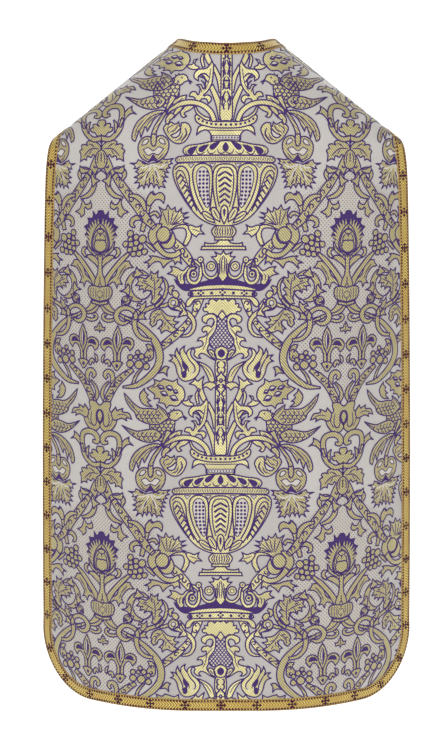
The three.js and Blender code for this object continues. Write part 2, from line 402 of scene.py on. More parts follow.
def place_of_weave(form, u, v):
    x = x_of_arc(u)
    radius = form.turn_radius(x)
    turn = form.turn_end(x)
    return x, v + radius * turn - radius * (1 - np.cos(turn)) + shoulder_height(x)


def new_object(name, points, faces, materials, face_materials=None, uvs=None):
    """A mesh object from points in millimetres, with UVs in metres for each point."""
    mesh = bpy.data.meshes.new(name)
    mesh.from_pydata((np.asarray(points) / MM_PER_METRE).tolist(), [], [list(map(int, f)) for f in faces])
    for material in materials:
        mesh.materials.append(material)
    if face_materials is not None:
        mesh.polygons.foreach_set("material_index", np.asarray(face_materials, dtype=np.int32))
    if uvs is not None:
        layer = mesh.uv_layers.new(name="UVMap")
        loops = np.empty(len(mesh.loops), dtype=np.int32)
        mesh.loops.foreach_get("vertex_index", loops)
        layer.data.foreach_set("uv", (np.asarray(uvs)[loops] / MM_PER_METRE).astype(np.float32).ravel())
    mesh.polygons.foreach_set("use_smooth", [True] * len(mesh.polygons))
    mesh.validate()
    mesh.update()
    obj = bpy.data.objects.new(name, mesh)
    bpy.context.scene.collection.objects.link(obj)
    return obj


def make_shell(name, form, net, materials):
    """A closed cloth wall: the figured face outside, and the plain reverse inside and round its edges."""
    x, s = net["places"][:, 0], net["places"][:, 1]
    count = len(x)
    points = np.concatenate([lifted(x, s, np.zeros(count)), lifted(x, s, np.full(count, -CLOTH_THICKNESS))])
    row = woven_row(form, x, -form.facing * s)
    uvs = np.tile(np.stack([arc_of(x) - axis_shift(row), row], axis=-1), (2, 1))
    top = [tuple(quad) for quad in net["quads"]]
    open_edges = {}
    for quad in top:
        for i in range(4):
            a, b = quad[i], quad[(i + 1) % 4]
            if (b, a) in open_edges:
                del open_edges[(b, a)]
            else:
                open_edges[(a, b)] = True
    under = [tuple(count + i for i in reversed(quad)) for quad in top]
    rim = [(b, a, count + a, count + b) for a, b in open_edges]
    faces = top + under + rim
    if shell_volume(points, faces) < 0:
        faces = [tuple(reversed(face)) for face in faces]
    slots = [0] * len(top) + [1] * (len(under) + len(rim))
    return new_object(name, points, faces, materials, slots, uvs)


def shell_volume(points, faces):
    total = 0.0
    for face in faces:
        for i in range(1, len(face) - 1):
            a, b, c = points[face[0]], points[face[i]], points[face[i + 1]]
            total += float(np.dot(a, np.cross(b, c)))
    return total


class Strip:
    """A braid's path between an outer and an inner edge, measured along its middle."""

    def __init__(self, outer, inner, closed=False):
        self.outer = np.array(outer)
        self.inner = np.array(inner)
        if closed:
            self.outer = np.vstack([self.outer, self.outer[:1]])
            self.inner = np.vstack([self.inner, self.inner[:1]])
        middle = (self.outer + self.inner) / 2
        points = face_point(middle[:, 0], middle[:, 1])
        steps = np.linalg.norm(np.diff(points, axis=0), axis=1)
        self.along = np.concatenate([[0.0], np.cumsum(steps)])
        self.length = float(self.along[-1])
        self.closed = closed

    def place(self, along, across):
        """Places at a distance along the strip and across it from its outer edge."""
        if self.closed:
            along = np.mod(along, self.length)
        share = np.asarray(across) / BRAID_WIDTH

        def between_edges(axis):
            outer = np.interp(along, self.along, self.outer[:, axis])
            inner = np.interp(along, self.along, self.inner[:, axis])
            return outer + (inner - outer) * share

        return between_edges(0), between_edges(1)


# The braid's section, as distances across it and heights above the panel's face. Half of it is given, and the
# other half mirrors it.
BRAID_HALF_SECTION = [
    (0.0, 0.32), (0.1, 0.72), (0.5, 1.0), (1.3, 1.06), (1.7, 0.98), (2.1, 1.16), (4.0, 1.24), (7.0, 1.22),
]
BRAID_SECTION = BRAID_HALF_SECTION + [(10.0, 1.2)]
BRAID_SECTION += [(round(BRAID_WIDTH - across, 1), lift) for across, lift in reversed(BRAID_HALF_SECTION)]
BRAID_SECTION += [(12.0, 0.32), (6.0, 0.32)]
SELVEDGE = 2.0


def make_braid(name, strip, step, materials):
    """A closed strip with the braid's section, and its edges in the second material."""
    count = max(int(strip.length / step), 8)
    stations = np.linspace(0.0, strip.length, count + 1)
    if strip.closed:
        stations = stations[:-1]
    points, uvs, faces, slots = [], [], [], []
    size = len(BRAID_SECTION)
    for across, lift in BRAID_SECTION:
        x, s = strip.place(stations, np.full(len(stations), across))
        points.append(lifted(x, s, np.full(len(stations), lift)))
        uvs.append(np.stack([stations, np.full(len(stations), across)], axis=-1))
    rows = len(stations)
    spans = rows if strip.closed else rows - 1
    for k in range(size):
        after = (k + 1) % size
        edge = min(BRAID_SECTION[k][0], BRAID_SECTION[after][0])
        other = max(BRAID_SECTION[k][0], BRAID_SECTION[after][0])
        slot = 1 if other <= SELVEDGE or edge >= BRAID_WIDTH - SELVEDGE else 0
        for i in range(spans):
            j = (i + 1) % rows
            faces.append((k * rows + i, k * rows + j, after * rows + j, after * rows + i))
            slots.append(slot)
    if not strip.closed:
        faces.append(tuple(k * rows for k in reversed(range(size))))
        faces.append(tuple(k * rows + rows - 1 for k in range(size)))
        slots += [1, 1]
    points = np.concatenate(points)
    if shell_volume(points, faces) < 0:
        faces = [tuple(reversed(face)) for face in faces]
    obj = new_object(name, points, faces, materials, slots, np.concatenate(uvs))
    sharpen(obj)
    return obj


# The pattern woven in the braid: its pitch along the braid, and its places across it.
DASH_PITCH = 5.0
DASH_ROWS = (3.2, 16.8)
DASH_HALF_LENGTH = 1.5
DASH_HALF_WIDTH = 1.7
CROSS_PITCH = 58.0
CROSS_MARGIN = 14.0
CROSS_HEIGHT = 0.86
CROSS_ARM = ((0.2, 0), (8.0, 0), 2.3)
CROSS_FORK = ((5.2, -3.4), (5.2, 3.4), 2.1)
MARK_LIFT = 1.29
CORNER_LIFT = 0.02


def cross_lines():
    """A cross whose four arms fork at their ends, as short lines round its centre, with their widths."""
    lines = []
    for turn in range(4):
        c, s = round(math.cos(turn * QUARTER_TURN)), round(math.sin(turn * QUARTER_TURN))
        for start, end, width in (CROSS_ARM, CROSS_FORK):
            spots = [(p[0] * c - p[1] * s, (p[0] * s + p[1] * c) * CROSS_HEIGHT) for p in (start, end)]
            lines.append((*spots, width))
    return lines


def make_marks(name, strip, middle, material):
    """Purple crosses along the middle of a braid, and a row of dashes by each of its edges."""
    outlines = []
    count = int(strip.length / DASH_PITCH)
    for dash in range(count):
        a = (dash + 0.5) * strip.length / count
        for across in DASH_ROWS:
            inward = DASH_HALF_WIDTH if across < BRAID_WIDTH / 2 else -DASH_HALF_WIDTH
            corners = ((-1, -1), (1, -1), (1, 1), (-1, 1))
            outlines.append([(a + i * DASH_HALF_LENGTH, across + j * inward) for i, j in corners])
    pitch = strip.length / round(strip.length / CROSS_PITCH) if strip.closed else CROSS_PITCH
    first = middle - pitch * int((middle - CROSS_MARGIN) / pitch)
    centres = []
    while first < strip.length - CROSS_MARGIN and len(centres) < round(strip.length / pitch):
        centres.append(first)
        first += pitch
    for centre in centres:
        for start, end, width in cross_lines():
            dx, dy = end[0] - start[0], end[1] - start[1]
            size = math.hypot(dx, dy)
            nx, ny = -dy / size * width / 2, dx / size * width / 2
            corners = ((start, 1), (end, 1), (end, -1), (start, -1))
            outlines.append(
                [(centre + (p[0] + i * nx), BRAID_WIDTH / 2 + (p[1] + i * ny)) for p, i in corners]
            )
    flat = np.array([p for outline in outlines for p in outline])
    x, s = strip.place(flat[:, 0], flat[:, 1])
    lift = np.full(len(flat), MARK_LIFT)
    # One corner of each mark stands higher, so that marks that cross don't share a plane.
    lift[::4] += CORNER_LIFT
    points = lifted(x, s, lift)
    out = face_out(x, s)
    faces = []
    for k in range(len(outlines)):
        face = [4 * k, 4 * k + 1, 4 * k + 2, 4 * k + 3]
        a, b, c = points[face[0]], points[face[1]], points[face[2]]
        if float(np.dot(np.cross(b - a, c - a), out[face[0]])) < 0:
            face.reverse()
        faces.append(face)
    obj = new_object(name, points, faces, [material], None, flat)
    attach(obj, "root")


def sharpen(obj):
    """Ends of a strip stay crisp while the rest shades smoothly."""
    for polygon in obj.data.polygons:
        if len(polygon.vertices) > 4:
            polygon.use_smooth = False


class Nodes:
    """A short way to build one material's nodes."""

    def __init__(self, name):
        self.material = bpy.data.materials.new(name)
        self.material.use_nodes = True
        self.tree = self.material.node_tree
        self.shader = self.tree.nodes["Principled BSDF"]

    def link(self, value, socket):
        if isinstance(value, bpy.types.NodeSocket):
            self.tree.links.new(value, socket)
        elif isinstance(value, tuple) and len(value) == 3 and socket.type == "RGBA":
            socket.default_value = (*value, 1.0)
        else:
            socket.default_value = value

    def add(self, kind, inputs=None, **settings):
        node = self.tree.nodes.new(kind)
        for key, value in settings.items():
            setattr(node, key, value)
        for key, value in (inputs or {}).items():
            self.link(value, node.inputs[key])
        return node

    def math(self, operation, a, b=0.0, c=0.0):
        return self.add("ShaderNodeMath", {0: a, 1: b, 2: c}, operation=operation).outputs[0]

    def mix(self, share, a, b):
        node = self.tree.nodes.new("ShaderNodeMix")
        node.data_type = "RGBA"
        self.link(share, node.inputs[0])
        self.link(a, node.inputs[6])
        self.link(b, node.inputs[7])
        return node.outputs[2]

    def band(self, value, low, high, start=0.0, end=1.0):
        inputs = {"Value": value, "From Min": low, "From Max": high, "To Min": start, "To Max": end}
        node = self.add("ShaderNodeMapRange", inputs, interpolation_type="SMOOTHSTEP")
        return node.outputs["Result"]

    def scale(self, value, factor):
        return self.math("MULTIPLY", value, factor)

    def tint(self, share, strength, base, colour):
        """Mixes some of a colour into a base, by a share that is first made weaker."""
        return self.mix(self.scale(share, strength), base, colour)

    def uv(self):
        out = self.add("ShaderNodeUVMap", uv_map="UVMap").outputs["UV"]
        parts = self.add("ShaderNodeSeparateXYZ", {0: out}).outputs
        return parts[0], parts[1]

    def place(self, x, y, z=0.0):
        return self.add("ShaderNodeCombineXYZ", {0: x, 1: y, 2: z}).outputs[0]

    def noise(self, vector, scale, detail=2.0):
        inputs = {"Vector": vector, "Scale": scale, "Detail": detail}
        return self.add("ShaderNodeTexNoise", inputs).outputs[0]

    def wave(self, value, pitch):
        """A smooth wave from 0 to 1 along a length."""
        turned = self.math("MULTIPLY", value, 2 * math.pi / pitch)
        return self.math("MULTIPLY_ADD", self.math("SINE", turned), 0.5, 0.5)

    def bump(self, height, strength, distance):
        inputs = {"Height": height, "Strength": strength, "Distance": distance}
        self.link(self.add("ShaderNodeBump", inputs).outputs[0], self.shader.inputs["Normal"])

    def set(self, **values):
        for key, value in values.items():
            self.link(value, self.shader.inputs[key.replace("_", " ")])


def srgb(r, g, b):
    def channel(c):
        c /= 255.0
        return c / 12.92 if c <= 0.04045 else ((c + 0.055) / 1.055) ** 2.4

    return (channel(r), channel(g), channel(b))


# Half the width of the woven repeat, and its height, in metres.
HALF_REPEAT = 0.203
REPEAT_HEIGHT = 0.517
DOTTED_LEVEL = 0.636
DOT_PITCH = 0.0044
DIAGONAL = 1.414


def twill(nodes, u, v, pitch, lean=1.0):
    """Fine slanting ribs of weave."""
    slant = nodes.math("MULTIPLY_ADD", v, lean, u)
    return nodes.wave(slant, pitch)


def make_ground():
    """Pale grey silk with cross slubs, painted shading that leaves it darker along the repeat's middle, and
    small dots between the scrolls.
    """
    nodes = Nodes("brocade_ground")
    u, v = nodes.uv()
    place = nodes.place(u, v)
    weft = nodes.wave(v, 0.0011)
    warp = nodes.wave(u, 0.0009)
    threads = nodes.math("MULTIPLY", weft, warp)
    slub = nodes.noise(nodes.place(nodes.scale(u, 0.25), nodes.scale(v, 6.0)), 260.0, 3.0)
    cloud = nodes.noise(place, 7.0, 3.0)
    side = nodes.math("PINGPONG", u, HALF_REPEAT)
    colour = nodes.mix(nodes.band(cloud, 0.35, 0.7), srgb(181, 176, 173), srgb(171, 166, 163))
    # Painted shading: the ground is painted lighter more than about 0.1 m from the repeat's middle line, so
    # the panel's middle stays darker.
    colour = nodes.mix(nodes.band(side, 0.07, 0.15, 0.0, 0.45), colour, srgb(193, 189, 183))
    colour = nodes.tint(slub, 0.35, colour, srgb(150, 146, 141))
    # The dots fill a pointed field round the side line of each repeat.
    dots = diaper(nodes, u, v)
    level = nodes.math("PINGPONG", nodes.math("ADD", v, REPEAT_HEIGHT - DOTTED_LEVEL), REPEAT_HEIGHT / 2)
    level = nodes.math("MULTIPLY_ADD", side, 0.6, level)
    zone = nodes.math("MULTIPLY", nodes.band(side, 0.1, 0.112), nodes.band(level, 0.192, 0.204))
    colour = nodes.tint(nodes.math("MULTIPLY", zone, dots), 0.9, colour, srgb(122, 102, 70))
    nodes.set(
        Base_Color=colour, Roughness=0.55, Sheen_Weight=0.25, Sheen_Roughness=0.45, Specular_IOR_Level=0.35,
    )
    height = nodes.math("MULTIPLY_ADD", threads, 0.6, nodes.scale(slub, 0.5))
    nodes.bump(height, 0.35, 0.0004)
    return nodes.material


def diaper(nodes, u, v):
    """Small dots in a staggered net."""
    a = nodes.wave(nodes.math("ADD", u, v), DOT_PITCH * DIAGONAL)
    b = nodes.wave(nodes.math("SUBTRACT", u, v), DOT_PITCH * DIAGONAL)
    return nodes.band(nodes.math("MULTIPLY", a, b), 0.36, 0.62)


def make_reverse():
    """The plain side of the cloth, a matt warm grey."""
    nodes = Nodes("brocade_reverse")
    u, v = nodes.uv()
    weft = nodes.wave(v, 0.0012)
    slub = nodes.noise(nodes.place(nodes.scale(u, 0.3), nodes.scale(v, 5.0)), 220.0, 3.0)
    cloud = nodes.noise(nodes.place(u, v), 6.0, 3.0)
    colour = nodes.mix(nodes.band(cloud, 0.35, 0.7), srgb(176, 170, 158), srgb(162, 156, 146))
    colour = nodes.tint(slub, 0.4, colour, srgb(146, 138, 128))
    nodes.set(
        Base_Color=colour, Roughness=0.78, Sheen_Weight=0.2, Sheen_Roughness=0.5, Specular_IOR_Level=0.25,
    )
    nodes.bump(nodes.math("MULTIPLY_ADD", weft, 0.5, slub), 0.3, 0.0004)
    return nodes.material


def make_gold():
    """Gold weft, hatched towards the side of the repeat, and painted brighter by the middle of the repeat and
    duller towards its side: partly a two-tone weft, partly painted sheen.
    """
    nodes = Nodes("brocade_gold")
    u, v = nodes.uv()
    side = nodes.math("PINGPONG", u, HALF_REPEAT)
    hatch = twill(nodes, side, v, 0.0043, -0.9)
    fine = twill(nodes, u, v, 0.0011, 1.0)
    cloud = nodes.noise(nodes.place(u, v), 26.0, 3.0)
    # Painted sheen, partly a two-tone weft: bright gold by the repeat's middle, duller olive gold towards its
    # side.
    bright = nodes.mix(nodes.band(hatch, 0.3, 0.75), srgb(184, 173, 116), srgb(236, 229, 174))
    olive = nodes.mix(nodes.band(hatch, 0.3, 0.7), srgb(120, 110, 72), srgb(192, 182, 136))
    colour = nodes.mix(nodes.band(side, 0.035, 0.105), bright, olive)
    colour = nodes.tint(nodes.band(cloud, 0.36, 0.62), 0.3, colour, srgb(150, 138, 96))
    nodes.set(Base_Color=colour, Roughness=0.42, Metallic=0.25, Specular_IOR_Level=0.5, Sheen_Weight=0.1)
    nodes.bump(nodes.math("MULTIPLY_ADD", hatch, 0.6, nodes.scale(fine, 0.4)), 0.3, 0.0004)
    return nodes.material


def make_purple():
    nodes = Nodes("brocade_purple")
    u, v = nodes.uv()
    rib = twill(nodes, u, v, 0.0012, 1.0)
    cloud = nodes.noise(nodes.place(u, v), 40.0, 2.0)
    colour = nodes.mix(nodes.band(rib, 0.2, 0.8), srgb(44, 20, 82), srgb(62, 34, 102))
    colour = nodes.tint(cloud, 0.3, colour, srgb(78, 54, 108))
    nodes.set(
        Base_Color=colour, Roughness=0.55, Sheen_Weight=0.05, Sheen_Roughness=0.4, Specular_IOR_Level=0.25,
    )
    nodes.bump(rib, 0.25, 0.0003)
    return nodes.material


def make_pale():
    nodes = Nodes("brocade_pale")
    u, v = nodes.uv()
    rib = nodes.wave(v, 0.0012)
    colour = nodes.mix(rib, srgb(196, 190, 180), srgb(182, 176, 166))
    nodes.set(
        Base_Color=colour, Roughness=0.55, Sheen_Weight=0.25, Sheen_Roughness=0.45, Specular_IOR_Level=0.35,
    )
    nodes.bump(rib, 0.25, 0.0003)
    return nodes.material


def make_braid_gold():
    """Herringbone: slanting gold cords that change direction at the middle of the braid."""
    nodes = Nodes("braid_gold")
    u, v = nodes.uv()
    across = nodes.math("ABSOLUTE", nodes.math("SUBTRACT", v, BRAID_WIDTH / 2 / MM_PER_METRE))
    wobble = nodes.noise(nodes.place(u, v), 120.0, 2.0)
    slant = nodes.math("MULTIPLY_ADD", across, 0.95, nodes.math("MULTIPLY_ADD", wobble, 0.0012, u))
    chevron = nodes.wave(slant, 0.0047)
    grain = nodes.noise(nodes.place(u, v), 900.0, 2.0)
    cloud = nodes.noise(nodes.place(u, v), 28.0, 3.0)
    colour = nodes.mix(nodes.band(chevron, 0.15, 0.85), srgb(108, 78, 24), srgb(234, 208, 108))
    colour = nodes.tint(nodes.band(cloud, 0.35, 0.75), 0.45, colour, srgb(170, 130, 54))
    colour = nodes.tint(grain, 0.3, colour, srgb(120, 88, 40))
    nodes.set(Base_Color=colour, Roughness=0.4, Metallic=0.3, Specular_IOR_Level=0.5, Sheen_Weight=0.1)
    nodes.bump(nodes.math("MULTIPLY_ADD", chevron, 0.8, nodes.scale(grain, 0.3)), 0.5, 0.0008)
    return nodes.material


def make_braid_edge():
    nodes = Nodes("braid_edge")
    u, v = nodes.uv()
    cord = nodes.wave(u, 0.0016)
    grain = nodes.noise(nodes.place(u, v), 700.0, 2.0)
    colour = nodes.mix(nodes.band(cord, 0.2, 0.8), srgb(146, 112, 54), srgb(200, 166, 92))
    colour = nodes.tint(grain, 0.3, colour, srgb(130, 98, 54))
    nodes.set(Base_Color=colour, Roughness=0.5, Metallic=0.2, Specular_IOR_Level=0.4)
    nodes.bump(cord, 0.5, 0.0005)
    return nodes.material


def make_braid_purple():
    nodes = Nodes("braid_purple")
    u, v = nodes.uv()
    rib = nodes.wave(nodes.math("ADD", u, v), 0.0012)
    grain = nodes.noise(nodes.place(u, v), 600.0, 2.0)
    colour = nodes.mix(rib, srgb(48, 0, 34), srgb(66, 6, 46))
    colour = nodes.tint(grain, 0.35, colour, srgb(50, 4, 38))
    nodes.set(Base_Color=colour, Roughness=0.6, Specular_IOR_Level=0.15)
    nodes.bump(rib, 0.3, 0.0004)
    return nodes.material


# The woven figure is drawn on half of one repeat, and the other half is its mirror image. The unit of the
# drawing sheet is about 1.6 mm: x runs from the middle line of the repeat to its side line, and y runs down.
LINE = 2.15
REPEAT = HALF_REPEAT * MM_PER_METRE
ROW_HEIGHT = REPEAT_HEIGHT * MM_PER_METRE
STROKE_WEIGHT = 1.25

# How places on the sheet become places on the cloth, which curves away from the eye towards its sides.
SHEET_TOP = 330.0
SHEET_SIDE = 124.0
SIDE_LEAN = 0.0231
ACROSS = 1.536
ACROSS_SPREAD = 5.3e-8
DOWN_START = 450.6
DOWN = 1.5498
DOWN_SPREAD = 2.013e-4
SAG = 3.2e-5
SAG_GROWTH = 2.5e-6
SIDE_SAG = 2.0e-8
SIDE_SNAP = 1.2

# How finely the flat parts are divided, in millimetres on the cloth.
FINE_EDGE = 5.0
FINE_NET = 7.0
NET_CLEARANCE = 2.5
LEAST_EDGE = 0.15

# Heights of the parts above the ground weave.
FIRST_LIFT = 0.22
LEVEL_LIFT = 0.085
LINE_LIFT = 0.045


def to_cloth(points):
    """Turns places on the drawing sheet into millimetres across and down the cloth."""
    points = np.asarray(points, dtype=float)
    x, h = points[:, 0], points[:, 1] - SHEET_TOP
    x = x * SHEET_SIDE / (SHEET_SIDE - SIDE_LEAN * h)
    u = ACROSS * x + ACROSS_SPREAD * np.sign(x) * x**4
    v = DOWN_START + DOWN * h + DOWN_SPREAD * h**2 + (SAG + SAG_GROWTH * h) * x**2 + SIDE_SAG * x**4
    u = np.where(u > REPEAT - SIDE_SNAP, REPEAT, u)
    return np.stack([np.maximum(u, 0.0), v], axis=-1)


def smooth(points, closed=False, fine=1.6):
    """A curve through the points; a point with a third entry is a sharp corner."""
    spots = [np.array(p[:2], dtype=float) for p in points]
    sharp = [len(p) > 2 for p in points]
    count = len(spots)
    out = []
    for i in range(count if closed else count - 1):
        j = (i + 1) % count
        before = spots[i - 1] if (i > 0 or closed) and not sharp[i] else spots[i]
        after = spots[(j + 1) % count] if (j + 1 < count or closed) and not sharp[j] else spots[j]
        a, b = spots[i], spots[j]
        span = float(np.linalg.norm(b - a))
        steps = max(int(math.ceil(span / fine)), 1)
        t = (np.arange(steps) / steps)[:, None]
        reach = max(float(np.linalg.norm(b - before)), 1e-6)
        leave = (b - before) / reach * span if not sharp[i] else (b - a)
        reach = max(float(np.linalg.norm(after - a)), 1e-6)
        arrive = (after - a) / reach * span if not sharp[j] else (b - a)
        out.append(
            (2 * t**3 - 3 * t**2 + 1) * a
            + (t**3 - 2 * t**2 + t) * leave
            + (-2 * t**3 + 3 * t**2) * b
            + (t**3 - t**2) * arrive
        )
    if not closed:
        out.append(spots[-1][None])
    return np.concatenate(out)


def inside(points, outline):
    """Which points lie inside a closed outline."""
    a = outline
    b = np.roll(outline, -1, axis=0)
    y = points[:, 1][:, None]
    crosses = (a[:, 1] > y) != (b[:, 1] > y)
    rise = np.where(b[:, 1] == a[:, 1], 1e-9, b[:, 1] - a[:, 1])
    at = a[:, 0] + (y - a[:, 1]) * (b[:, 0] - a[:, 0]) / rise
    return (np.sum(crosses & (points[:, 0][:, None] < at), axis=1) % 2) == 1


def finely(path, longest):
    """A closed path with points added so that no edge is longer than asked."""
    out = []
    for i, spot in enumerate(path):
        after = path[(i + 1) % len(path)]
        steps = max(int(math.ceil(float(np.linalg.norm(after - spot)) / longest)), 1)
        out += [spot + (after - spot) * k / steps for k in range(steps)]
    return np.array(out)


def side_normals(path, closed):
    ahead = np.roll(path, -1, axis=0) - path
    behind = path - np.roll(path, 1, axis=0)
    if not closed:
        ahead[-1] = behind[-1]
        behind[0] = ahead[0]
    ahead /= np.maximum(np.linalg.norm(ahead, axis=1, keepdims=True), 1e-6)
    behind /= np.maximum(np.linalg.norm(behind, axis=1, keepdims=True), 1e-6)
    middle = ahead + behind
    size = np.linalg.norm(middle, axis=1, keepdims=True)
    middle = np.where(size > 0.2, middle / np.maximum(size, 1e-6), ahead)
    bend = np.clip(np.sum(middle * ahead, axis=1, keepdims=True), 0.6, 1.0)
    return np.stack([-middle[:, 1], middle[:, 0]], axis=-1) / bend


class Figure:
    """The woven figure: flat parts in gold, purple and pale weft, each with its height above the ground."""

    def __init__(self):
        self.parts = {"gold": [], "ink": [], "pale": []}

    def keep(self, kind, places, triangles, lift):
        self.parts[kind].append((np.asarray(places), np.asarray(triangles, dtype=int), lift))

    def lift(self, level, raised=False):
        return FIRST_LIFT + LEVEL_LIFT * level + (LINE_LIFT if raised else 0.0)

    def patch(self, path, kind, level, raised=False):
        """Fills a closed path on the cloth with small triangles."""
        gaps = np.linalg.norm(path - np.roll(path, -1, axis=0), axis=1)
        path = finely(path[gaps > LEAST_EDGE], FINE_EDGE)
        if len(path) < 3:
            return
        low, high = path.min(axis=0), path.max(axis=0)
        xs = np.arange(low[0] + FINE_NET / 2, high[0], FINE_NET)
        ys = np.arange(low[1] + FINE_NET / 2, high[1], FINE_NET)
        spots = [Vector(p) for p in path.tolist()]
        if len(xs) and len(ys):
            net = np.stack(np.meshgrid(xs, ys), axis=-1).reshape(-1, 2)
            net = net[inside(net, path)]
            if len(net):
                near = np.min(np.linalg.norm(net[:, None] - path[None], axis=2), axis=1)
                spots += [Vector(p) for p in net[near > NET_CLEARANCE].tolist()]
        count = len(path)
        edges = [(i, (i + 1) % count) for i in range(count)]
        places, _, faces, *_ = delaunay_2d_cdt(spots, edges, [], 1, 1e-4)
        if faces:
            self.keep(kind, [tuple(p) for p in places], faces, self.lift(level, raised))

    def band(self, path, width, kind, level, closed=False):
        """A line of one width, or of a width for each point, along a path on the cloth."""
        if not closed and len(path) < 2:
            return
        width = np.asarray(width, dtype=float)
        if width.ndim and len(width) != len(path):
            width = np.interp(np.linspace(0, 1, len(path)), np.linspace(0, 1, len(width)), width)
        half = np.broadcast_to(width / 2, (len(path),))[:, None]
        normal = side_normals(path, closed)
        places = np.concatenate([path + normal * half, path - normal * half])
        count = len(path)
        triangles = []
        for i in range(count if closed else count - 1):
            j = (i + 1) % count
            triangles += [(i, j, count + j), (i, count + j, count + i)]
        self.keep(kind, places, triangles, self.lift(level, raised=True))

    def shape(self, points, level=0, fill="gold", line="ink", width=LINE, closed=True):
        path = to_cloth(smooth(points, closed))
        if fill:
            self.patch(path, fill, level)
        if line:
            self.band(path, width, line, level, closed)

    def half(self, points, level=0, **looks):
        """A shape that its mirror image completes: an open path that starts and ends on a middle line."""
        self.shape(points, level, closed=False, **looks)

    def stroke(self, points, level=0, width=LINE, kind="ink"):
        """A tapering line."""
        width *= STROKE_WEIGHT
        path = to_cloth(smooth(points))
        t = np.linspace(0.0, 1.0, len(path))
        self.band(path, width * (0.45 + 0.55 * np.sin(np.pi * t) ** 0.5), kind, level)

    def strokes(self, level, width, *paths):
        for path in paths:
            self.stroke(path, level, width)

    def dash(self, points, level=0, width=LINE):
        """A line of one width."""
        self.band(to_cloth(smooth(points)), width * STROKE_WEIGHT, "ink", level)

    def ribbon(self, points, widths, level=0):
        """A band between two outlines, with widths given from its start to its end."""
        middle = smooth(points, fine=1.8)
        t = np.linspace(0.0, 1.0, len(middle))
        half = np.interp(t, np.linspace(0.0, 1.0, len(widths)), widths)[:, None] / 2
        normal = side_normals(middle, False)
        outline = np.concatenate([middle + normal * half, (middle - normal * half)[::-1]])
        path = to_cloth(outline)
        self.patch(path, "gold", level)
        self.band(path, LINE, "ink", level, closed=True)

    def disc(self, x, y, radius, level=0, squash=1.0, **looks):
        points = [(x + radius * math.cos(a), y + radius * squash * math.sin(a)) for a in ring_angles(10)]
        self.shape(points, level, **looks)

    def dot(self, x, y, radius, level=0):
        points = [(x + radius * math.cos(a), y + radius * math.sin(a)) for a in ring_angles(6)]
        self.patch(to_cloth(points), "ink", level, raised=True)

    def berries(self, spots, level=0):
        for x, y, radius in spots:
            self.disc(x, y, radius, level)

    def scales(self, outline, pitch, turn, level=0, width=1.7):
        """Rows of small arcs, as feathers, inside an outline."""
        edge = smooth(outline, closed=True)
        low, high = edge.min(axis=0), edge.max(axis=0)
        spots = []
        for j, y in enumerate(np.arange(low[1], high[1], pitch * 0.8)):
            for x in np.arange(low[0] + (j % 2) * pitch / 2, high[0], pitch):
                spots.append((x, y))
        spots = np.array(spots)
        for x, y in spots[inside(spots, edge)]:
            arc = []
            for k in range(7):
                angle = math.radians(turn - 96 + 32 * k)
                arc.append((x + pitch * 0.5 * math.cos(angle), y + pitch * 0.5 * math.sin(angle)))
            self.band(to_cloth(arc), width, "ink", level)

    def curls(self, spots, level=1):
        """Scrolls along a strap, each a long hook: a centre, a size and a turn in degrees."""
        for x, y, size, turn in spots:
            path = []
            for k in range(10):
                angle = math.radians(turn - 40 + 36 * k)
                reach = size * (1.3 - 0.1 * k)
                path.append((x + reach * math.cos(angle), y + reach * math.sin(angle)))
            self.stroke(path, level, 1.9)


def ring_angles(count):
    return [2 * math.pi * i / count for i in range(count)]


def mirrored(points, axis):
    return [(2 * axis - p[0], *p[1:]) for p in points]


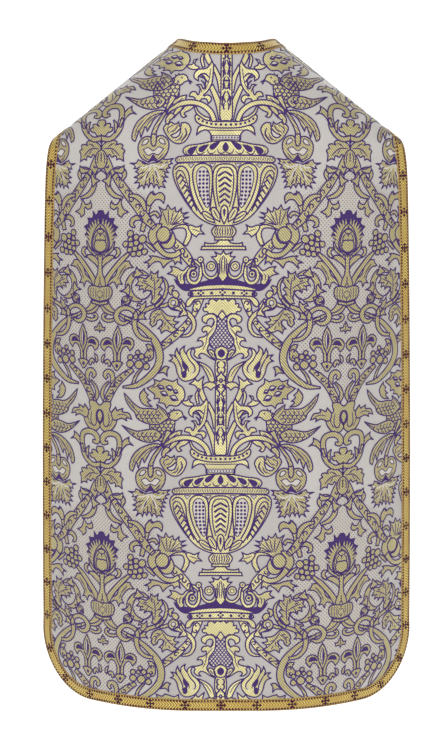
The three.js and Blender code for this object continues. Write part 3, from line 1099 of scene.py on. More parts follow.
def draw_column(f):
    """The middle of the repeat: a lattice pineapple on a stem, an urn with a lid, and a crown below it."""
    shell = [
        (0, 299.8), (3.4, 298.4), (6.2, 300.8, 1), (9.6, 298.6), (13.4, 300.6), (13.4, 303.8, 1),
        (16.6, 303.6), (16, 307, 1), (19, 307.6), (18.4, 311), (15, 311.4, 1), (13, 313.6), (9, 313.2),
        (5.4, 315.6), (0, 317),
    ]
    f.half(shell, 0)
    f.half([(0, 310), (4, 315.5, 1), (0, 320.5)], 3)
    f.half([(0, 315), (5, 317), (8.6, 323), (11.6, 332), (12.4, 340), (10, 347), (0, 350)], 1, fill="ink")
    for row in range(14):
        for step in range(5):
            x = step * 3.7 + (row % 2) * 1.85
            y = 318.8 + row * 2.3
            limit = 4.2 + max(y - 318, 0) * 0.44 if y < 335 else 11.6 - max(y - 341, 0) * 0.5
            if x < limit:
                kind = "pale"
                f.patch(to_cloth([(x, y - 1.3), (x + 1.3, y), (x, y + 1.3), (max(x - 1.3, 0.0), y)]), kind, 2)
    acanthus = [
        (5.5, 317), (9, 314), (14.5, 314), (19.5, 317), (19.5, 321), (15.5, 323.5, 1), (14.5, 320),
        (11, 318), (8.3, 319.5), (8, 323.5), (10.5, 327, 1), (13, 325.6), (18.3, 326.7), (20, 330),
        (18.3, 332.2, 1), (15.6, 331), (15, 334.4), (17.8, 336.7, 1), (22.8, 338), (24.4, 341, 1),
        (20.5, 340.5), (18.3, 344), (21, 346.5), (28.5, 348.3, 1), (26.5, 351), (27.6, 354.4),
        (24.4, 357.6), (20.5, 358.3, 1), (22.8, 355.4), (20.5, 353.3), (16.7, 354), (11, 357.8),
        (5.5, 360.5, 1), (11, 355.5), (14.4, 350), (12.4, 344), (12.2, 339), (9, 334.4), (6, 329), (5, 322),
    ]
    f.shape(acanthus, 2)
    f.stroke([(8.5, 328), (14, 335), (16, 344), (19, 350)], 2, 1.2)
    f.half([(0, 346), (5, 348), (7, 353), (5, 358), (0, 360)], 3)
    f.half([(0, 349.5), (2.4, 351), (2.8, 354.5), (0, 357)], 4, fill="ink")
    f.shape([(5, 358, 1), (6.5, 353), (10, 349.6), (13, 350.6), (12, 354), (8, 358)], 3)
    f.stroke([(8, 356), (9.6, 353.5), (11.4, 352)], 3, 1.6)

    f.half(
        [(0, 359), (4, 359), (5.8, 362), (6, 372), (4.6, 380), (5.2, 388), (5.4, 400), (5.4, 430),
         (6.2, 446), (4.8, 455), (0, 455)], 1,
    )
    f.strokes(
        1, 2.3,
        [(1.2, 361.6), (3.4, 362.4), (3.6, 366.4), (1.4, 368)],
        [(3.4, 367), (3.8, 371), (1.6, 374)],
        [(0, 371), (1.6, 374.4), (4.2, 377), (4, 380.6), (2.4, 380.4)],
        [(0, 378), (1.4, 380.4), (0, 383)],
        [(0.6, 385), (2.2, 384.6), (2.4, 387), (0.8, 387.6)],
        [(3.6, 384.6), (3.8, 389), (2, 391.6), (1, 394), (2.6, 396.6), (3.8, 395)],
        [(2.4, 397), (3.4, 400.4), (4, 404)],
        [(0.6, 397), (1.4, 400), (2.8, 404.6), (1.6, 409), (0.8, 412)],
        [(3.8, 407), (2.8, 411), (3.6, 414.6)],
    )
    f.dash([(0, 417.4), (3.6, 417)], 1, 2.3)
    f.stroke([(0.8, 413.4), (2.4, 416), (2.6, 419.6), (1.2, 423)], 1, 2.3)
    f.dash([(0, 424.6), (3, 424)], 1, 2.3)
    f.strokes(
        1, 2.3,
        [(3.8, 420), (2.8, 423), (3.6, 426.4)],
        [(0.6, 427), (3.0, 432.4), (0.6, 438)],
        [(1.4, 438), (2.8, 441), (2, 445.4)],
        [(4.2, 432), (3.8, 437), (4.4, 441)],
    )
    f.ribbon([(4.6, 428), (7.4, 415), (13, 403)], [5, 4.6, 3.4], 0)
    f.ribbon([(4.6, 454), (8, 438), (15, 422)], [5, 5.6, 4.4], 0)
    f.shape([(6, 381, 1), (9, 371), (15, 365), (24.5, 361, 1), (19, 367), (14.5, 374.5), (10.5, 384, 1)], 0)
    f.stroke([(9.5, 377), (14, 369.5), (20, 364.5)], 0, 1.2)
    f.shape(
        [(5, 386.5), (6, 383.3), (12, 382), (17, 384.4), (18.5, 388.6, 1), (15, 386.8), (10, 390, 1),
         (7.5, 387.6)], 2,
    )
    twig = [
        (13.5, 400, 1), (17, 392), (18.6, 384), (17, 376, 1), (21, 379.5), (24, 381), (27, 376, 1),
        (27.2, 380.5), (32, 384, 1), (26, 385.5), (23, 390), (21, 396), (17, 402),
    ]
    f.shape(twig, 0)
    f.ribbon([(21.5, 389), (24.2, 395), (22.5, 404)], [2, 3, 2.4], 0)
    spray = [
        (27, 404), (30.7, 401.7), (31.2, 399), (28.4, 395.4, 1), (32.4, 396.7), (33.2, 400.4),
        (39.5, 401, 1), (37.3, 404), (33, 406), (28, 406, 1),
    ]
    f.shape(spray, 1)

    body = [
        (12.6, 402, 1), (13.3, 413), (14.8, 421.4), (19.4, 428.4), (22.4, 431.4), (18.3, 430.8),
        (14.8, 433), (15, 436.6), (17.6, 439, 1), (19.4, 434.8), (24, 434.6), (26.4, 438.6), (30, 438, 1),
        (30.8, 433.2), (36, 431.6, 1), (34.4, 428), (29.8, 427.8), (27.6, 430.6), (26, 427), (26, 423.2),
        (29.4, 421, 1), (24.8, 421), (22.4, 425), (20.4, 420), (21, 414.8), (24, 411.8), (27.4, 412.6),
        (27.4, 417.4, 1), (31.6, 414), (31, 409.2), (27, 406.2), (20.6, 405.6), (17, 402.6),
        (14.6, 398.2, 1),
    ]
    f.shape(body, 2)
    f.stroke([(15.4, 405), (16.4, 413), (18.4, 421), (22, 427)], 2, 1.2)
    f.stroke([(17, 414), (21, 410.6), (26, 411)], 2)
    f.stroke([(18, 419), (22, 414.6), (27, 413.2)], 2)
    f.stroke([(20, 425), (22, 419.5), (25, 416.6)], 2)
    f.stroke([(24, 428.5), (25, 425), (27, 423.4)], 2, 1.3)

    f.ribbon(
        [(11, 456), (15, 447), (23, 440.4), (33, 437.6), (44, 438.6), (53, 443), (58, 447)],
        [4.6, 5, 4.8, 4.6, 5, 4, 2], 3,
    )
    f.ribbon([(16, 454), (22, 452), (28, 447), (30.5, 441)], [3, 3, 2.6, 1.6], 2)
    f.shape(
        [(30, 441, 1), (37, 440.4), (42, 442.5), (44.6, 447), (42, 451.6), (38.6, 450.6, 1), (40.8, 447.6),
         (36.5, 445.5)], 2,
    )
    f.ribbon([(43, 441), (48, 445.6), (51.5, 451)], [5, 4.6, 2], 2)
    f.shape([(50, 449, 1), (54, 447), (58, 451), (58.5, 456), (56, 457.6), (54.6, 453.5), (52.5, 452.6)], 4)

    f.half(
        [(0, 462), (25, 460), (28.5, 468.5, 1), (24, 465), (18.5, 464), (14.5, 468), (13.4, 474),
         (0, 474)], 3,
    )
    f.dash([(0, 464.6), (17, 464)], 3, 1.2)
    f.half([(0, 469.2), (13.2, 469.2, 1), (13.2, 472.8, 1), (0, 472.8)], 4, fill="pale", width=1.3)
    for step in range(5):
        f.dot(step * 2.9, 471, 0.9, 4)
    rim = [
        (0, 456), (12, 456), (21, 454), (27, 450), (29.5, 449.6), (30, 453), (28, 456.6), (22, 459.5),
        (12, 461.8), (0, 462.2),
    ]
    f.half(rim, 5)
    for x, y in (
        (0, 459), (4.8, 459), (9.6, 458.8), (14.2, 458.2), (18.6, 457.2), (22.6, 455.6), (26.4, 453.4),
    ):
        f.dot(x, y, 1.4, 5)

    f.half(
        [(0, 474), (12, 474.6), (25, 477), (37, 478.6), (41, 482), (39.6, 486), (35, 487.4), (0, 487.4)], 3,
    )
    f.half([(0, 475.6), (2.3, 480), (1.6, 482.8), (0, 483.6)], 4, fill="ink")
    for x, y in ((6.4, 475.8), (17, 478), (27.6, 479.4)):
        f.shape(
            [(x, y, 1), (x + 5.6, y + 1.2), (x + 8.6, y + 3.8), (x + 7.4, y + 6.2), (x + 4, y + 5)], 4,
            fill="ink",
        )
    for x, y in ((3.2, 485.4), (13, 485.6), (23.6, 486), (34, 486.4)):
        f.stroke([(x - 3.6, y - 1.6), (x, y + 0.6), (x + 3.4, y - 0.2), (x + 4.6, y - 3.6)], 4, 1.4)
    f.half([(0, 487.8), (44, 488.2), (48, 490.4), (47, 493.4), (43, 493.8), (0, 493.4)], 4)
    for step in range(27):
        x = 0.6 + step * 1.72
        f.band(to_cloth([(x, 489.2), (x + 0.8, 492.4)]), 1.0, "ink", 4)

    bowl = [
        (0, 494), (44, 494.6), (49, 497), (50.4, 503), (47.6, 513), (41.6, 524), (34, 535), (25, 545),
        (15, 551), (6, 553.4), (0, 553.6),
    ]
    f.half(bowl, 3)
    f.dash([(0, 495.8), (6, 496.6), (10.4, 500.6), (11.8, 510), (10.6, 524), (7.4, 538)], 3, 1.9)
    f.dash([(0, 499), (4.6, 499.8), (7.8, 504.4), (8.4, 513), (7.2, 526), (4.8, 536)], 3, 1.6)
    for step in range(6):
        y = 503 + step * 5.1
        wide = 6.8 - step * 0.45
        f.dash([(0, y, 1), (wide, y + 4.2)], 3, 2.6)
    f.dash(
        [(14, 540), (12.6, 524), (12, 508), (13.6, 499.4), (18.6, 495.8), (25, 495.6), (29.8, 499),
         (31.2, 507), (29, 519), (25, 530), (20, 539)], 3, 1.9,
    )
    arch = [
        (15.6, 536), (15, 522), (15, 509), (17, 501.4), (21.6, 498.4), (26, 501), (27.6, 508), (25.6, 519),
        (21.6, 529),
    ]
    f.shape(arch, 4, fill="pale", width=1.5)
    for row in range(9):
        for step in range(3):
            x = 17.2 + step * 3.5 - max(row - 4, 0) * 0.35
            y = 503 + row * 3.7
            if row < 7 or step < 2:
                f.dot(x, y, 1.4, 4)
    f.dash([(22, 543), (29, 531), (33.6, 517), (34.8, 506), (38.6, 499), (44, 497.4), (48.4, 500.6)], 3, 1.9)
    f.dash(
        [(26, 540), (32.6, 525), (37, 511), (40.6, 503), (44.8, 501.4), (47.2, 504.6), (45.2, 514),
         (39.6, 525), (31, 538)], 3, 1.5,
    )
    for step in range(7):
        x, y = 43 - step * 2.2, 505.4 + step * 4.7
        f.dash([(x - 3.6, y + 3.6), (x, y, 1), (x + 2.8, y + 4.2)], 3, 2.0)
    for x in (12.2, 33):
        f.shape([(x - 3, 495.6, 1), (x + 3, 495.6, 1), (x, 499.2, 1)], 4, fill="pale", width=1.2)
    f.half([(0, 534), (2.8, 536.6), (3.4, 542), (2, 548), (0, 552)], 5)
    f.half([(0, 537), (1.3, 540), (0, 546)], 6, fill="ink", line=None)
    for base, tip, wide in (((4, 550), (11.6, 536.6), 3.0), ((8.6, 551), (20.6, 540.4), 2.8)):
        x, y = (base[0] + tip[0]) / 2, (base[1] + tip[1]) / 2
        f.shape([(*base, 1), (x - wide, y - wide * 0.4), tip, (x + wide, y + wide * 0.6)], 5)
        f.stroke([(base[0] + 1.6, base[1] - 3), (x, y), (tip[0] - 1, tip[1] + 2)], 5, 1.5)

    f.half([(0, 553.6), (8, 554), (11.2, 557), (11.2, 560.4), (8, 563.8), (0, 564)], 4)
    for x in (1.4, 4.0, 6.6, 8.8):
        f.stroke([(x * 0.75, 554.6), (x, 559), (x * 0.75, 563.2)], 4, 1.5)
    f.half([(0, 564), (8.6, 564, 1), (8.6, 566.8, 1), (0, 566.8)], 3)
    f.half([(0, 566.8), (4.4, 566.8), (7, 569.4), (15, 570), (17.8, 569, 1), (18.4, 572.4, 1), (0, 572.4)], 3)
    f.half([(0, 572.6), (20.6, 572.6, 1), (21.4, 575.6, 1), (0, 575.6)], 4)
    draw_crown(f)


def draw_crown(f):
    f.half(
        [(0, 598), (10, 603), (20, 606), (30, 608), (39, 606), (46, 602.4, 1), (42.6, 608), (35, 613),
         (20, 610), (0, 610)], 1, fill="ink",
    )
    fleuron = [
        (0, 576.5), (2.6, 580), (8.4, 577.6, 1), (6.6, 581.6), (11.4, 582.2, 1), (7, 586.6), (5, 592),
        (4.4, 600), (2.4, 603), (0, 605.6),
    ]
    f.half(fleuron, 2)
    f.stroke([(0.4, 581), (1.6, 588), (0.8, 598)], 2, 1.6)
    f.stroke([(2.4, 583), (3.4, 587), (2.6, 594)], 2, 1.3)
    f.ribbon(
        [(4.4, 589), (4.8, 597), (8.4, 601.4), (13.4, 601.6), (18, 597), (19.2, 590), (21, 586)],
        [1.6, 2.6, 2.8, 2.8, 2.6, 2.4, 2.2], 2,
    )
    f.disc(11.4, 591, 4.3, 2)
    f.disc(11.4, 591, 2.1, 3, width=1.3)
    f.disc(21.6, 585, 2.7, 3)
    f.dot(21.6, 585, 0.9, 3)
    f.ribbon([(21.5, 591), (24, 588), (28.6, 586), (28.4, 590), (25.4, 592.6)], [2, 2.8, 2.8, 2.6, 1.6], 2)
    f.ribbon(
        [(21.6, 591), (21.4, 600), (25, 606), (31, 605), (33.4, 599), (31, 593.4), (26.4, 592.6)],
        [2.4, 3.2, 3.4, 3.4, 3.2, 3, 2.4], 3,
    )
    f.disc(27.8, 598, 3.0, 3)
    f.dot(27.8, 598, 1.5, 4)
    wing = [
        (30, 590), (34, 591), (38, 594.6), (44, 591.6), (50.4, 590.2, 1), (48.4, 594), (53, 597, 1),
        (46.4, 599), (42.4, 604), (40.6, 607.6, 1), (36.6, 606.6), (36.6, 600), (33.4, 596),
    ]
    f.shape(wing, 2)
    for x in (0.0, 3.4, 6.8):
        f.stroke([(35 + x, 596 + x * 0.3), (37.4 + x * 0.9, 599), (37.6 + x * 0.7, 604)], 2, 1.3)
    f.half([(0, 608), (15, 608.6), (27, 610.4), (35, 612.8, 1), (28, 613.2), (0, 612)], 2)
    f.half([(0, 612.4), (25, 613.4), (31, 614.6), (32.6, 617), (30, 618.4), (0, 618.4)], 3)
    for x, y in (
        (0, 613.4), (0, 617.2), (2.2, 615.3), (20.6, 613.8), (20.6, 617.6), (18.4, 615.7), (22.8, 615.9),
    ):
        f.dot(x, y, 1.25, 4)
    f.dot(10.4, 615.8, 1.6, 4)
    f.dot(29.4, 616.6, 2.2, 4)
    f.half(
        [(0, 617.8), (24, 618), (31, 620), (34.6, 625), (33, 628), (29.6, 626.4), (27, 622.4), (22, 621.2),
         (0, 621)], 2,
    )


def draw_upper_vine(f):
    """Straps, loops and leaves beside the pineapple, with a tulip, a lily and a first bunch of grapes."""
    f.ribbon([(22.5, 297), (25.5, 306), (29, 316)], [8, 7.5, 4], 0)
    f.curls([(25, 303, 2.3, 200), (26.6, 309.5, 2.0, 20)], 0)
    f.ribbon([(32, 319), (38, 327), (46, 335), (55, 342.5), (62, 348)], [5, 6.4, 7.4, 7.6, 7], 1)
    f.curls(
        [(34.6, 323, 2.0, 230), (39.6, 328.6, 2.2, 60), (46.4, 335.4, 2.3, 240), (52.4, 340.4, 2.3, 60),
         (58, 344.6, 2.2, 240)], 1,
    )
    f.ribbon(
        [(49, 307), (41, 309.6), (33.6, 314), (28.6, 321), (28.6, 328.6), (33, 334.6), (41, 336.4)],
        [3.4, 4, 4.6, 4.4, 3.8, 3.2, 1.6], 2,
    )
    f.shape(
        [(41.6, 301, 1), (43, 306.5), (40, 310.5), (45, 317.6, 1), (39.6, 315.6), (35, 314.4), (38, 309),
         (40.4, 305)], 3,
    )
    f.ribbon([(43, 309), (50, 307.8), (55, 304.4), (58, 305.6), (64, 307)], [3.6, 4, 3.4, 3.6, 2.6], 1)
    vine = [
        (61, 310, 1), (65.6, 309.6), (71, 313), (73.4, 319, 1), (71.8, 320), (73, 323.6, 1), (70, 327, 1),
        (66.4, 324.6), (65.4, 321), (61.4, 320), (60, 323.6), (64.6, 329, 1), (62.4, 329.2),
        (61, 333.6, 1), (56.4, 330.4), (51, 332.4), (43.4, 330.2, 1), (48, 326.4), (43.4, 322, 1),
        (49, 320.6), (46.4, 316.6, 1), (54.6, 315.6),
    ]
    f.shape(vine, 1)
    f.stroke([(62, 311), (57, 319), (48, 328.4)], 1, 1.5)
    f.stroke([(61.4, 313.6), (66.4, 317), (69.4, 323.4)], 1, 1.3)
    f.strokes(
        1, 1.2,
        [(56.6, 320), (51.4, 321)],
        [(58.6, 320), (60, 325), (61, 330.4)],
    )
    for x, y, dx, dy in (
        (52, 324, -4, 0.6), (55, 326, -2, 4), (57, 322, 0.6, 5), (64, 314, 4, 0.4), (67, 317, 3.6, 1),
        (68, 320, 0.6, 4),
    ):
        f.stroke([(x, y), (x + dx * 0.6, y + dy * 0.4), (x + dx, y + dy)], 1, 1.4)
    f.ribbon([(60, 299), (64, 304.6), (72, 307.8), (80, 311.6), (86, 318)], [2.6, 4, 4, 4.4, 5], 1)
    f.shape(
        [(77.6, 301, 1), (77.4, 306.6), (80, 311), (85, 316), (88, 311), (83, 308.4), (83.6, 306),
         (86.6, 306.4, 1), (84.8, 303.6), (81, 304.8)], 2,
    )
    f.shape(
        [(86, 313), (80, 313.4), (77, 312.8, 1), (79, 316), (76.4, 319.8, 1), (82, 319.4), (86.6, 321)], 2,
    )

    band = [
        (99, 318), (92, 320), (84, 325), (75, 332.4), (67, 341.6), (62.6, 352), (62.4, 362), (67, 371.4),
        (76, 380), (86, 386), (99, 387.4),
    ]
    f.ribbon(band, [3, 3.6, 5, 6, 7.4, 7.4, 7.2, 7, 6, 4.6, 1.6], 2)
    f.shape(
        [(60.6, 370.4, 1), (56.4, 366.4), (52.4, 367.4, 1), (54.4, 371), (54, 376.2, 1), (57.6, 372.8),
         (64, 373.6, 1)], 3,
    )
    f.ribbon(
        [(71, 340.4), (79.6, 338.8), (86, 333), (88.4, 325), (87.6, 316.6), (84.6, 311)],
        [3, 4, 4.4, 5, 5.6, 5], 3,
    )
    f.ribbon(
        [(86.8, 320), (88.4, 313.4), (92.6, 309.6), (98.4, 308.2), (104, 310), (107.4, 315), (105.6, 321),
         (100, 323.8), (94, 321.6)], [4.4, 4.6, 4.2, 4.4, 5, 5.4, 5, 4, 2], 3,
    )
    f.ribbon([(89.4, 324), (95, 320), (101, 316.6), (104.6, 314.4)], [4.2, 4, 3.4, 1.6], 2)
    f.ribbon(
        [(106, 317), (111, 320.2), (117, 320.6), (121, 317.6), (120, 314.6), (117.4, 315.4)],
        [2.4, 3, 3.2, 3.2, 3, 2.4], 2,
    )
    f.ribbon([(120.4, 296), (118.4, 304), (112.6, 310.4), (106.6, 312.6)], [8, 7, 4.4, 1], 1)
    f.disc(98, 300.6, 4.2, 2)
    f.disc(98, 300.2, 2.0, 3, width=1.3)

    tulip = [
        (35.4, 381.2), (27, 378.4), (22.6, 373), (21.6, 366.6), (24.8, 361.6), (29.6, 357), (31, 352),
        (28.6, 347.4, 1), (33.8, 350.4), (35, 354.6, 1), (37.8, 349.8), (36.8, 345.6, 1), (41.4, 350),
        (41.4, 355.6, 1), (43.6, 352), (44.8, 348, 1), (46.6, 353.6), (44.8, 358.6, 1), (47.6, 355.6),
        (52, 354.8, 1), (49, 358.6), (52.6, 361, 1), (48.4, 362.4), (45.8, 366), (44, 373), (40.6, 379),
    ]
    f.shape(tulip, 1)
    f.strokes(
        1, 1.8,
        [(35, 354), (32, 360), (27, 366), (26.4, 371), (30, 374)],
        [(41.4, 355), (38, 362), (33.6, 367), (32.6, 372)],
        [(44.8, 358), (41.6, 364), (39.4, 370), (40, 374)],
    )
    f.shape([(38.8, 360.6, 1), (38.4, 366), (35, 371, 1), (34.6, 366.4)], 2, fill="ink")
    f.shape([(35.6, 371, 1), (38.6, 372.4), (38, 377.4), (35.4, 376)], 2, fill="ink")
    f.stroke([(29.6, 368), (28.4, 371.6), (31, 375.6)], 2, 1.6, "pale")
    f.stroke([(42.4, 366), (41.4, 371), (41.8, 375)], 2, 1.6, "pale")

    draw_lily(f, 105.6)
    small = [
        (125, 320), (122.4, 324.4), (121.4, 327.2), (118.6, 327.4, 1), (119.6, 331), (122, 330), (125, 333),
    ]
    f.half(small, 1)
    f.stroke([(125, 323), (123.8, 326), (125, 330)], 1, 1.2)
    f.shape([(118, 354, 1), (121, 356.4), (121.6, 361), (119.8, 363, 1), (118.8, 358.4)], 1)
    f.shape(
        [(112.6, 361.6), (115.4, 359.4), (118.4, 361.4), (117, 364.6, 1), (115.6, 362.8), (114, 366.4),
         (112, 366)], 1,
    )
    f.ribbon(
        [(109.6, 387), (109.4, 379), (111, 373.4), (115, 371.6), (117.6, 375), (115.4, 378.6)],
        [4, 4.6, 4.6, 4.6, 4, 2.6], 1,
    )

    leaf = [
        (68.2, 356), (69, 348.4), (72.4, 344.6), (76.4, 345, 1), (74.6, 350), (77.6, 355.6), (73, 361),
        (69, 359),
    ]
    f.shape(leaf, 1)
    f.curls([(72, 351, 1.8, 200), (72.6, 356.6, 1.8, 20)], 1)
    f.ribbon([(80, 369), (85.6, 376), (89, 385)], [2, 3, 3], 1)
    grapes = [(80.5, 356.8, 2.8), (84.4, 352.8, 2.3), (86.2, 357.4, 2.1), (92, 357.6, 2.7), (75.6, 360, 2.5)]
    f.berries(grapes + [(75.4, 366.8, 3.2), (83, 364.8, 4.3), (91.8, 364.2, 3.6)], 3)
    f.ribbon([(89, 370), (97, 375.4), (106, 384), (112, 394), (116.4, 405)], [4, 7, 7.6, 7.6, 7], 1)
    f.curls(
        [(95.6, 374.4, 2.3, 220), (101.6, 379, 2.3, 40), (106.6, 385.4, 2.4, 240), (110.4, 391.6, 2.3, 60),
         (113.6, 398.4, 2.2, 250)], 1,
    )
    f.ribbon([(113.6, 382), (118.6, 388), (120, 395), (117, 401.6)], [2, 3.2, 3.6, 3], 1)


def draw_lily(f, axis):
    """A heraldic lily: a tall middle petal, two curled ones and a foot below their band."""
    f.shape(
        [(axis, 326, 1), (axis + 3.6, 334), (axis + 4.6, 342), (axis + 2, 350), (axis, 354, 1),
         (axis - 2, 350), (axis - 4.6, 342), (axis - 3.6, 334)], 3,
    )
    f.shape(
        [(axis, 331, 1), (axis + 1.9, 338), (axis + 1.4, 344), (axis, 349, 1), (axis - 1.4, 344),
         (axis - 1.9, 338)], 4, fill="pale", width=1.3,
    )
    f.shape(
        [(axis + 0.2, 332.4, 1), (axis + 2.0, 338), (axis + 1.6, 344), (axis + 0.2, 349, 1),
         (axis - 0.4, 341)], 5, fill="ink", line=None,
    )
    curl = [
        (axis - 0.4, 363, 1), (axis - 3.2, 362), (axis - 3.6, 354), (axis - 6.4, 348), (axis - 10, 347),
        (axis - 13, 351.4, 1), (axis - 16.6, 347), (axis - 16.4, 341), (axis - 11, 338),
        (axis - 5.6, 340.6), (axis - 2.6, 347), (axis - 0.4, 355),
    ]
    eye = [
        (axis - 14, 345, 1), (axis - 12.4, 341.4), (axis - 8.6, 341), (axis - 5.8, 344.4, 1),
        (axis - 9.4, 344.2),
    ]
    for points, level, kind in ((curl, 1, "gold"), (eye, 2, "ink")):
        f.shape(points, level, fill=kind)
        f.shape(mirrored(points, axis), level, fill=kind)
    f.dash([(axis, 352), (axis, 361)], 2, 1.4)
    f.shape(
        [(axis - 6, 363.4, 1), (axis - 2.6, 361.8), (axis + 2.6, 361.8), (axis + 6, 363.4, 1),
         (axis + 3.6, 367), (axis, 371), (axis - 3.6, 367)], 3,
    )
    f.shape(
        [(axis, 364, 1), (axis + 1.6, 366), (axis, 368.6, 1), (axis - 1.6, 366)], 4, fill="ink", line=None,
    )


def draw_birds_and_buds(f):
    """A bird with raised wings, the seed head above it, and the scrolls by the side line."""
    head = [
        (36, 396), (38, 388), (43.4, 383.4), (43.6, 378.8, 1), (48, 381.4), (53, 380.2), (58, 378.8, 1),
        (61, 381.4), (67.4, 379.6, 1), (66.6, 384), (74.4, 388.4, 1), (70, 392), (66.4, 395), (67, 399, 1),
        (61.6, 399), (62.4, 402.8, 1), (56.6, 404), (54.4, 408.4, 1), (51.4, 405.4), (44, 406), (39, 401.6),
    ]
    f.shape(head, 1)
    for x, y, wide, high in (
        (51.4, 388, 3.6, 2.3), (60, 387.4, 3.4, 1.7), (56.8, 393.6, 3.6, 2.3), (47, 398, 4.0, 2.6),
        (45.4, 391.6, 2.4, 1.8),
    ):
        f.shape(
            [(x - wide, y + high * 0.8, 1), (x - wide * 0.2, y - high), (x + wide, y - high * 0.6, 1),
             (x + wide * 0.3, y + high)], 2, fill="pale", width=2.0,
        )
        f.stroke(
            [(x - wide * 0.6, y + high * 0.5), (x + wide * 0.2, y + high * 0.6),
             (x + wide * 0.7, y - high * 0.2)], 3, 2.6,
        )
    f.stroke([(61, 383.4), (65, 386.4), (70, 388)], 1, 1.2)
    f.shape(
        [(77, 388.4, 1), (81.6, 395), (80.4, 401.4), (76, 405.6), (68.8, 406.8, 1), (73.6, 402),
         (70.4, 401, 1), (74.6, 397.4), (73, 395, 1), (76.4, 391.6)], 1,
    )

    body = [
        (47, 417), (45.8, 424), (48, 432), (53, 438.4), (60, 441.4), (67, 436), (71, 428), (69, 418),
        (62, 412), (54, 413.4),
    ]
    f.shape(body, 1)
    f.scales(body, 4.4, 110, 1)
    wing = [
        (52, 418, 1), (55, 411.4), (60, 407.4), (64.4, 404.4, 1), (63.6, 409), (70, 408.6), (80, 408.4),
        (88, 403.4), (93, 398), (97.6, 393.4, 1), (95.4, 401), (91.4, 407.6), (86.4, 413), (84.4, 418),
        (78.4, 422), (70, 424.4), (61, 424),
    ]
    f.shape(wing, 2)
    f.scales([(62, 411), (70, 410), (81, 410.4), (84, 414), (80, 419), (70, 422.4), (62, 421.4)], 4.4, 20, 2)
    for x, y in ((86.4, 407), (89.6, 404), (92.4, 400.6)):
        f.stroke([(x - 3.4, y + 5.4), (x, y + 2), (x + 2.6, y - 2.4)], 2, 1.2)
    f.strokes(
        2, 1.2,
        [(54, 416), (58, 411), (62, 407.6)],
        [(57, 418), (60.6, 413.4), (63, 410)],
    )
    tail = [
        (59, 434, 1), (66, 429.6), (74, 430), (84, 431.4), (92, 429), (99.4, 425.6, 1), (93, 432),
        (86.4, 437.4), (78, 441.4), (70, 442.4), (62, 439.8),
    ]
    f.shape(tail, 2)
    f.scales(
        [(62, 434), (68, 431.6), (76, 432), (85, 433.4), (86, 436), (78, 439.8), (70, 440.6), (63, 438)],
        4.4, 15, 2,
    )
    f.stroke([(86, 434.4), (91, 431.6), (96, 428.2)], 2, 1.2)
    crown = [
        (33.4, 418.6, 1), (37.6, 415.4), (39, 412), (43, 410), (46, 410.6), (46.8, 409, 1), (48.2, 411.2),
        (50, 410, 1), (49.8, 412.4), (52, 413, 1), (50.8, 415), (52, 417.4, 1), (49.6, 419.6),
        (44.6, 420.6), (41, 417.8, 1), (37.4, 417), (35, 420.4, 1), (36, 418),
    ]
    f.shape(crown, 2)
    f.dot(43.6, 413.6, 0.9, 2)
    f.ribbon([(51.6, 431), (55.6, 439), (59.4, 446)], [5.4, 3.4, 1.8], 2)
    f.shape([(38.6, 430.6, 1), (44, 431.4), (51.6, 436), (51, 440.4), (45, 437.4), (40, 435.4, 1)], 2)
    f.stroke([(42, 433.4), (49, 437.6)], 2, 1.2)

    f.shape(
        [(104.6, 411, 1), (98.6, 408.8, 1), (99, 412), (92.6, 413.6), (89.4, 419.6, 1), (95, 418.2),
         (94.4, 421.2, 1), (99.6, 418.6), (104.4, 420), (108, 420), (110, 413), (106, 407.4, 1)], 3,
    )
    f.stroke([(93, 417), (99, 414.6), (105, 415.6)], 3, 1.2)
    base = [
        (125, 405.4), (121, 404.6), (118, 402), (111.4, 403), (112, 411), (108, 414), (104.6, 419),
        (106.4, 426), (111, 431), (117, 431.6), (121, 428), (122.4, 424), (125, 422.4),
    ]
    f.half(base, 2)
    f.dash([(125, 408.6), (121.4, 410), (119, 414), (119.4, 419), (122, 424)], 2, 3.2)
    f.stroke([(113.4, 413), (112.6, 423.6), (115.6, 427), (118.2, 423.6), (117.8, 416)], 2, 1.6)
    f.stroke([(109, 416), (109.6, 422), (112, 427)], 2, 1.3)
    f.ribbon(
        [(104, 456), (101.6, 446), (103, 437.6), (108.4, 434), (115, 434.2), (118.8, 438.4),
         (117.6, 442.8), (113.6, 442.6)], [4, 5, 5, 5, 5.6, 6, 5, 2.6], 3,
    )
    f.shape(
        [(87.4, 446, 1), (92, 441.6), (92, 437.4, 1), (97.6, 441), (101, 447), (102.4, 454), (97, 447.6),
         (92, 444.6)], 2,
    )
    f.ribbon(
        [(101, 448), (102.4, 456), (107, 463), (113, 466.4), (119, 465), (125, 461.6)],
        [2, 4.4, 5, 4.6, 4.4, 4], 3,
    )
    f.ribbon([(108, 461), (107, 454.4), (109.4, 449)], [1, 3.6, 0.8], 3)
    trefoil = [
        (125, 446.4), (118.6, 447), (117.4, 450.6), (119, 453.4, 1), (115.6, 451.2), (112.4, 452.2),
        (113, 455.2, 1), (110.2, 456), (111, 459.2), (114.8, 460, 1), (116.4, 462.2), (119.6, 462.4),
        (121, 460.2, 1), (125, 460.6),
    ]
    f.half(trefoil, 3)


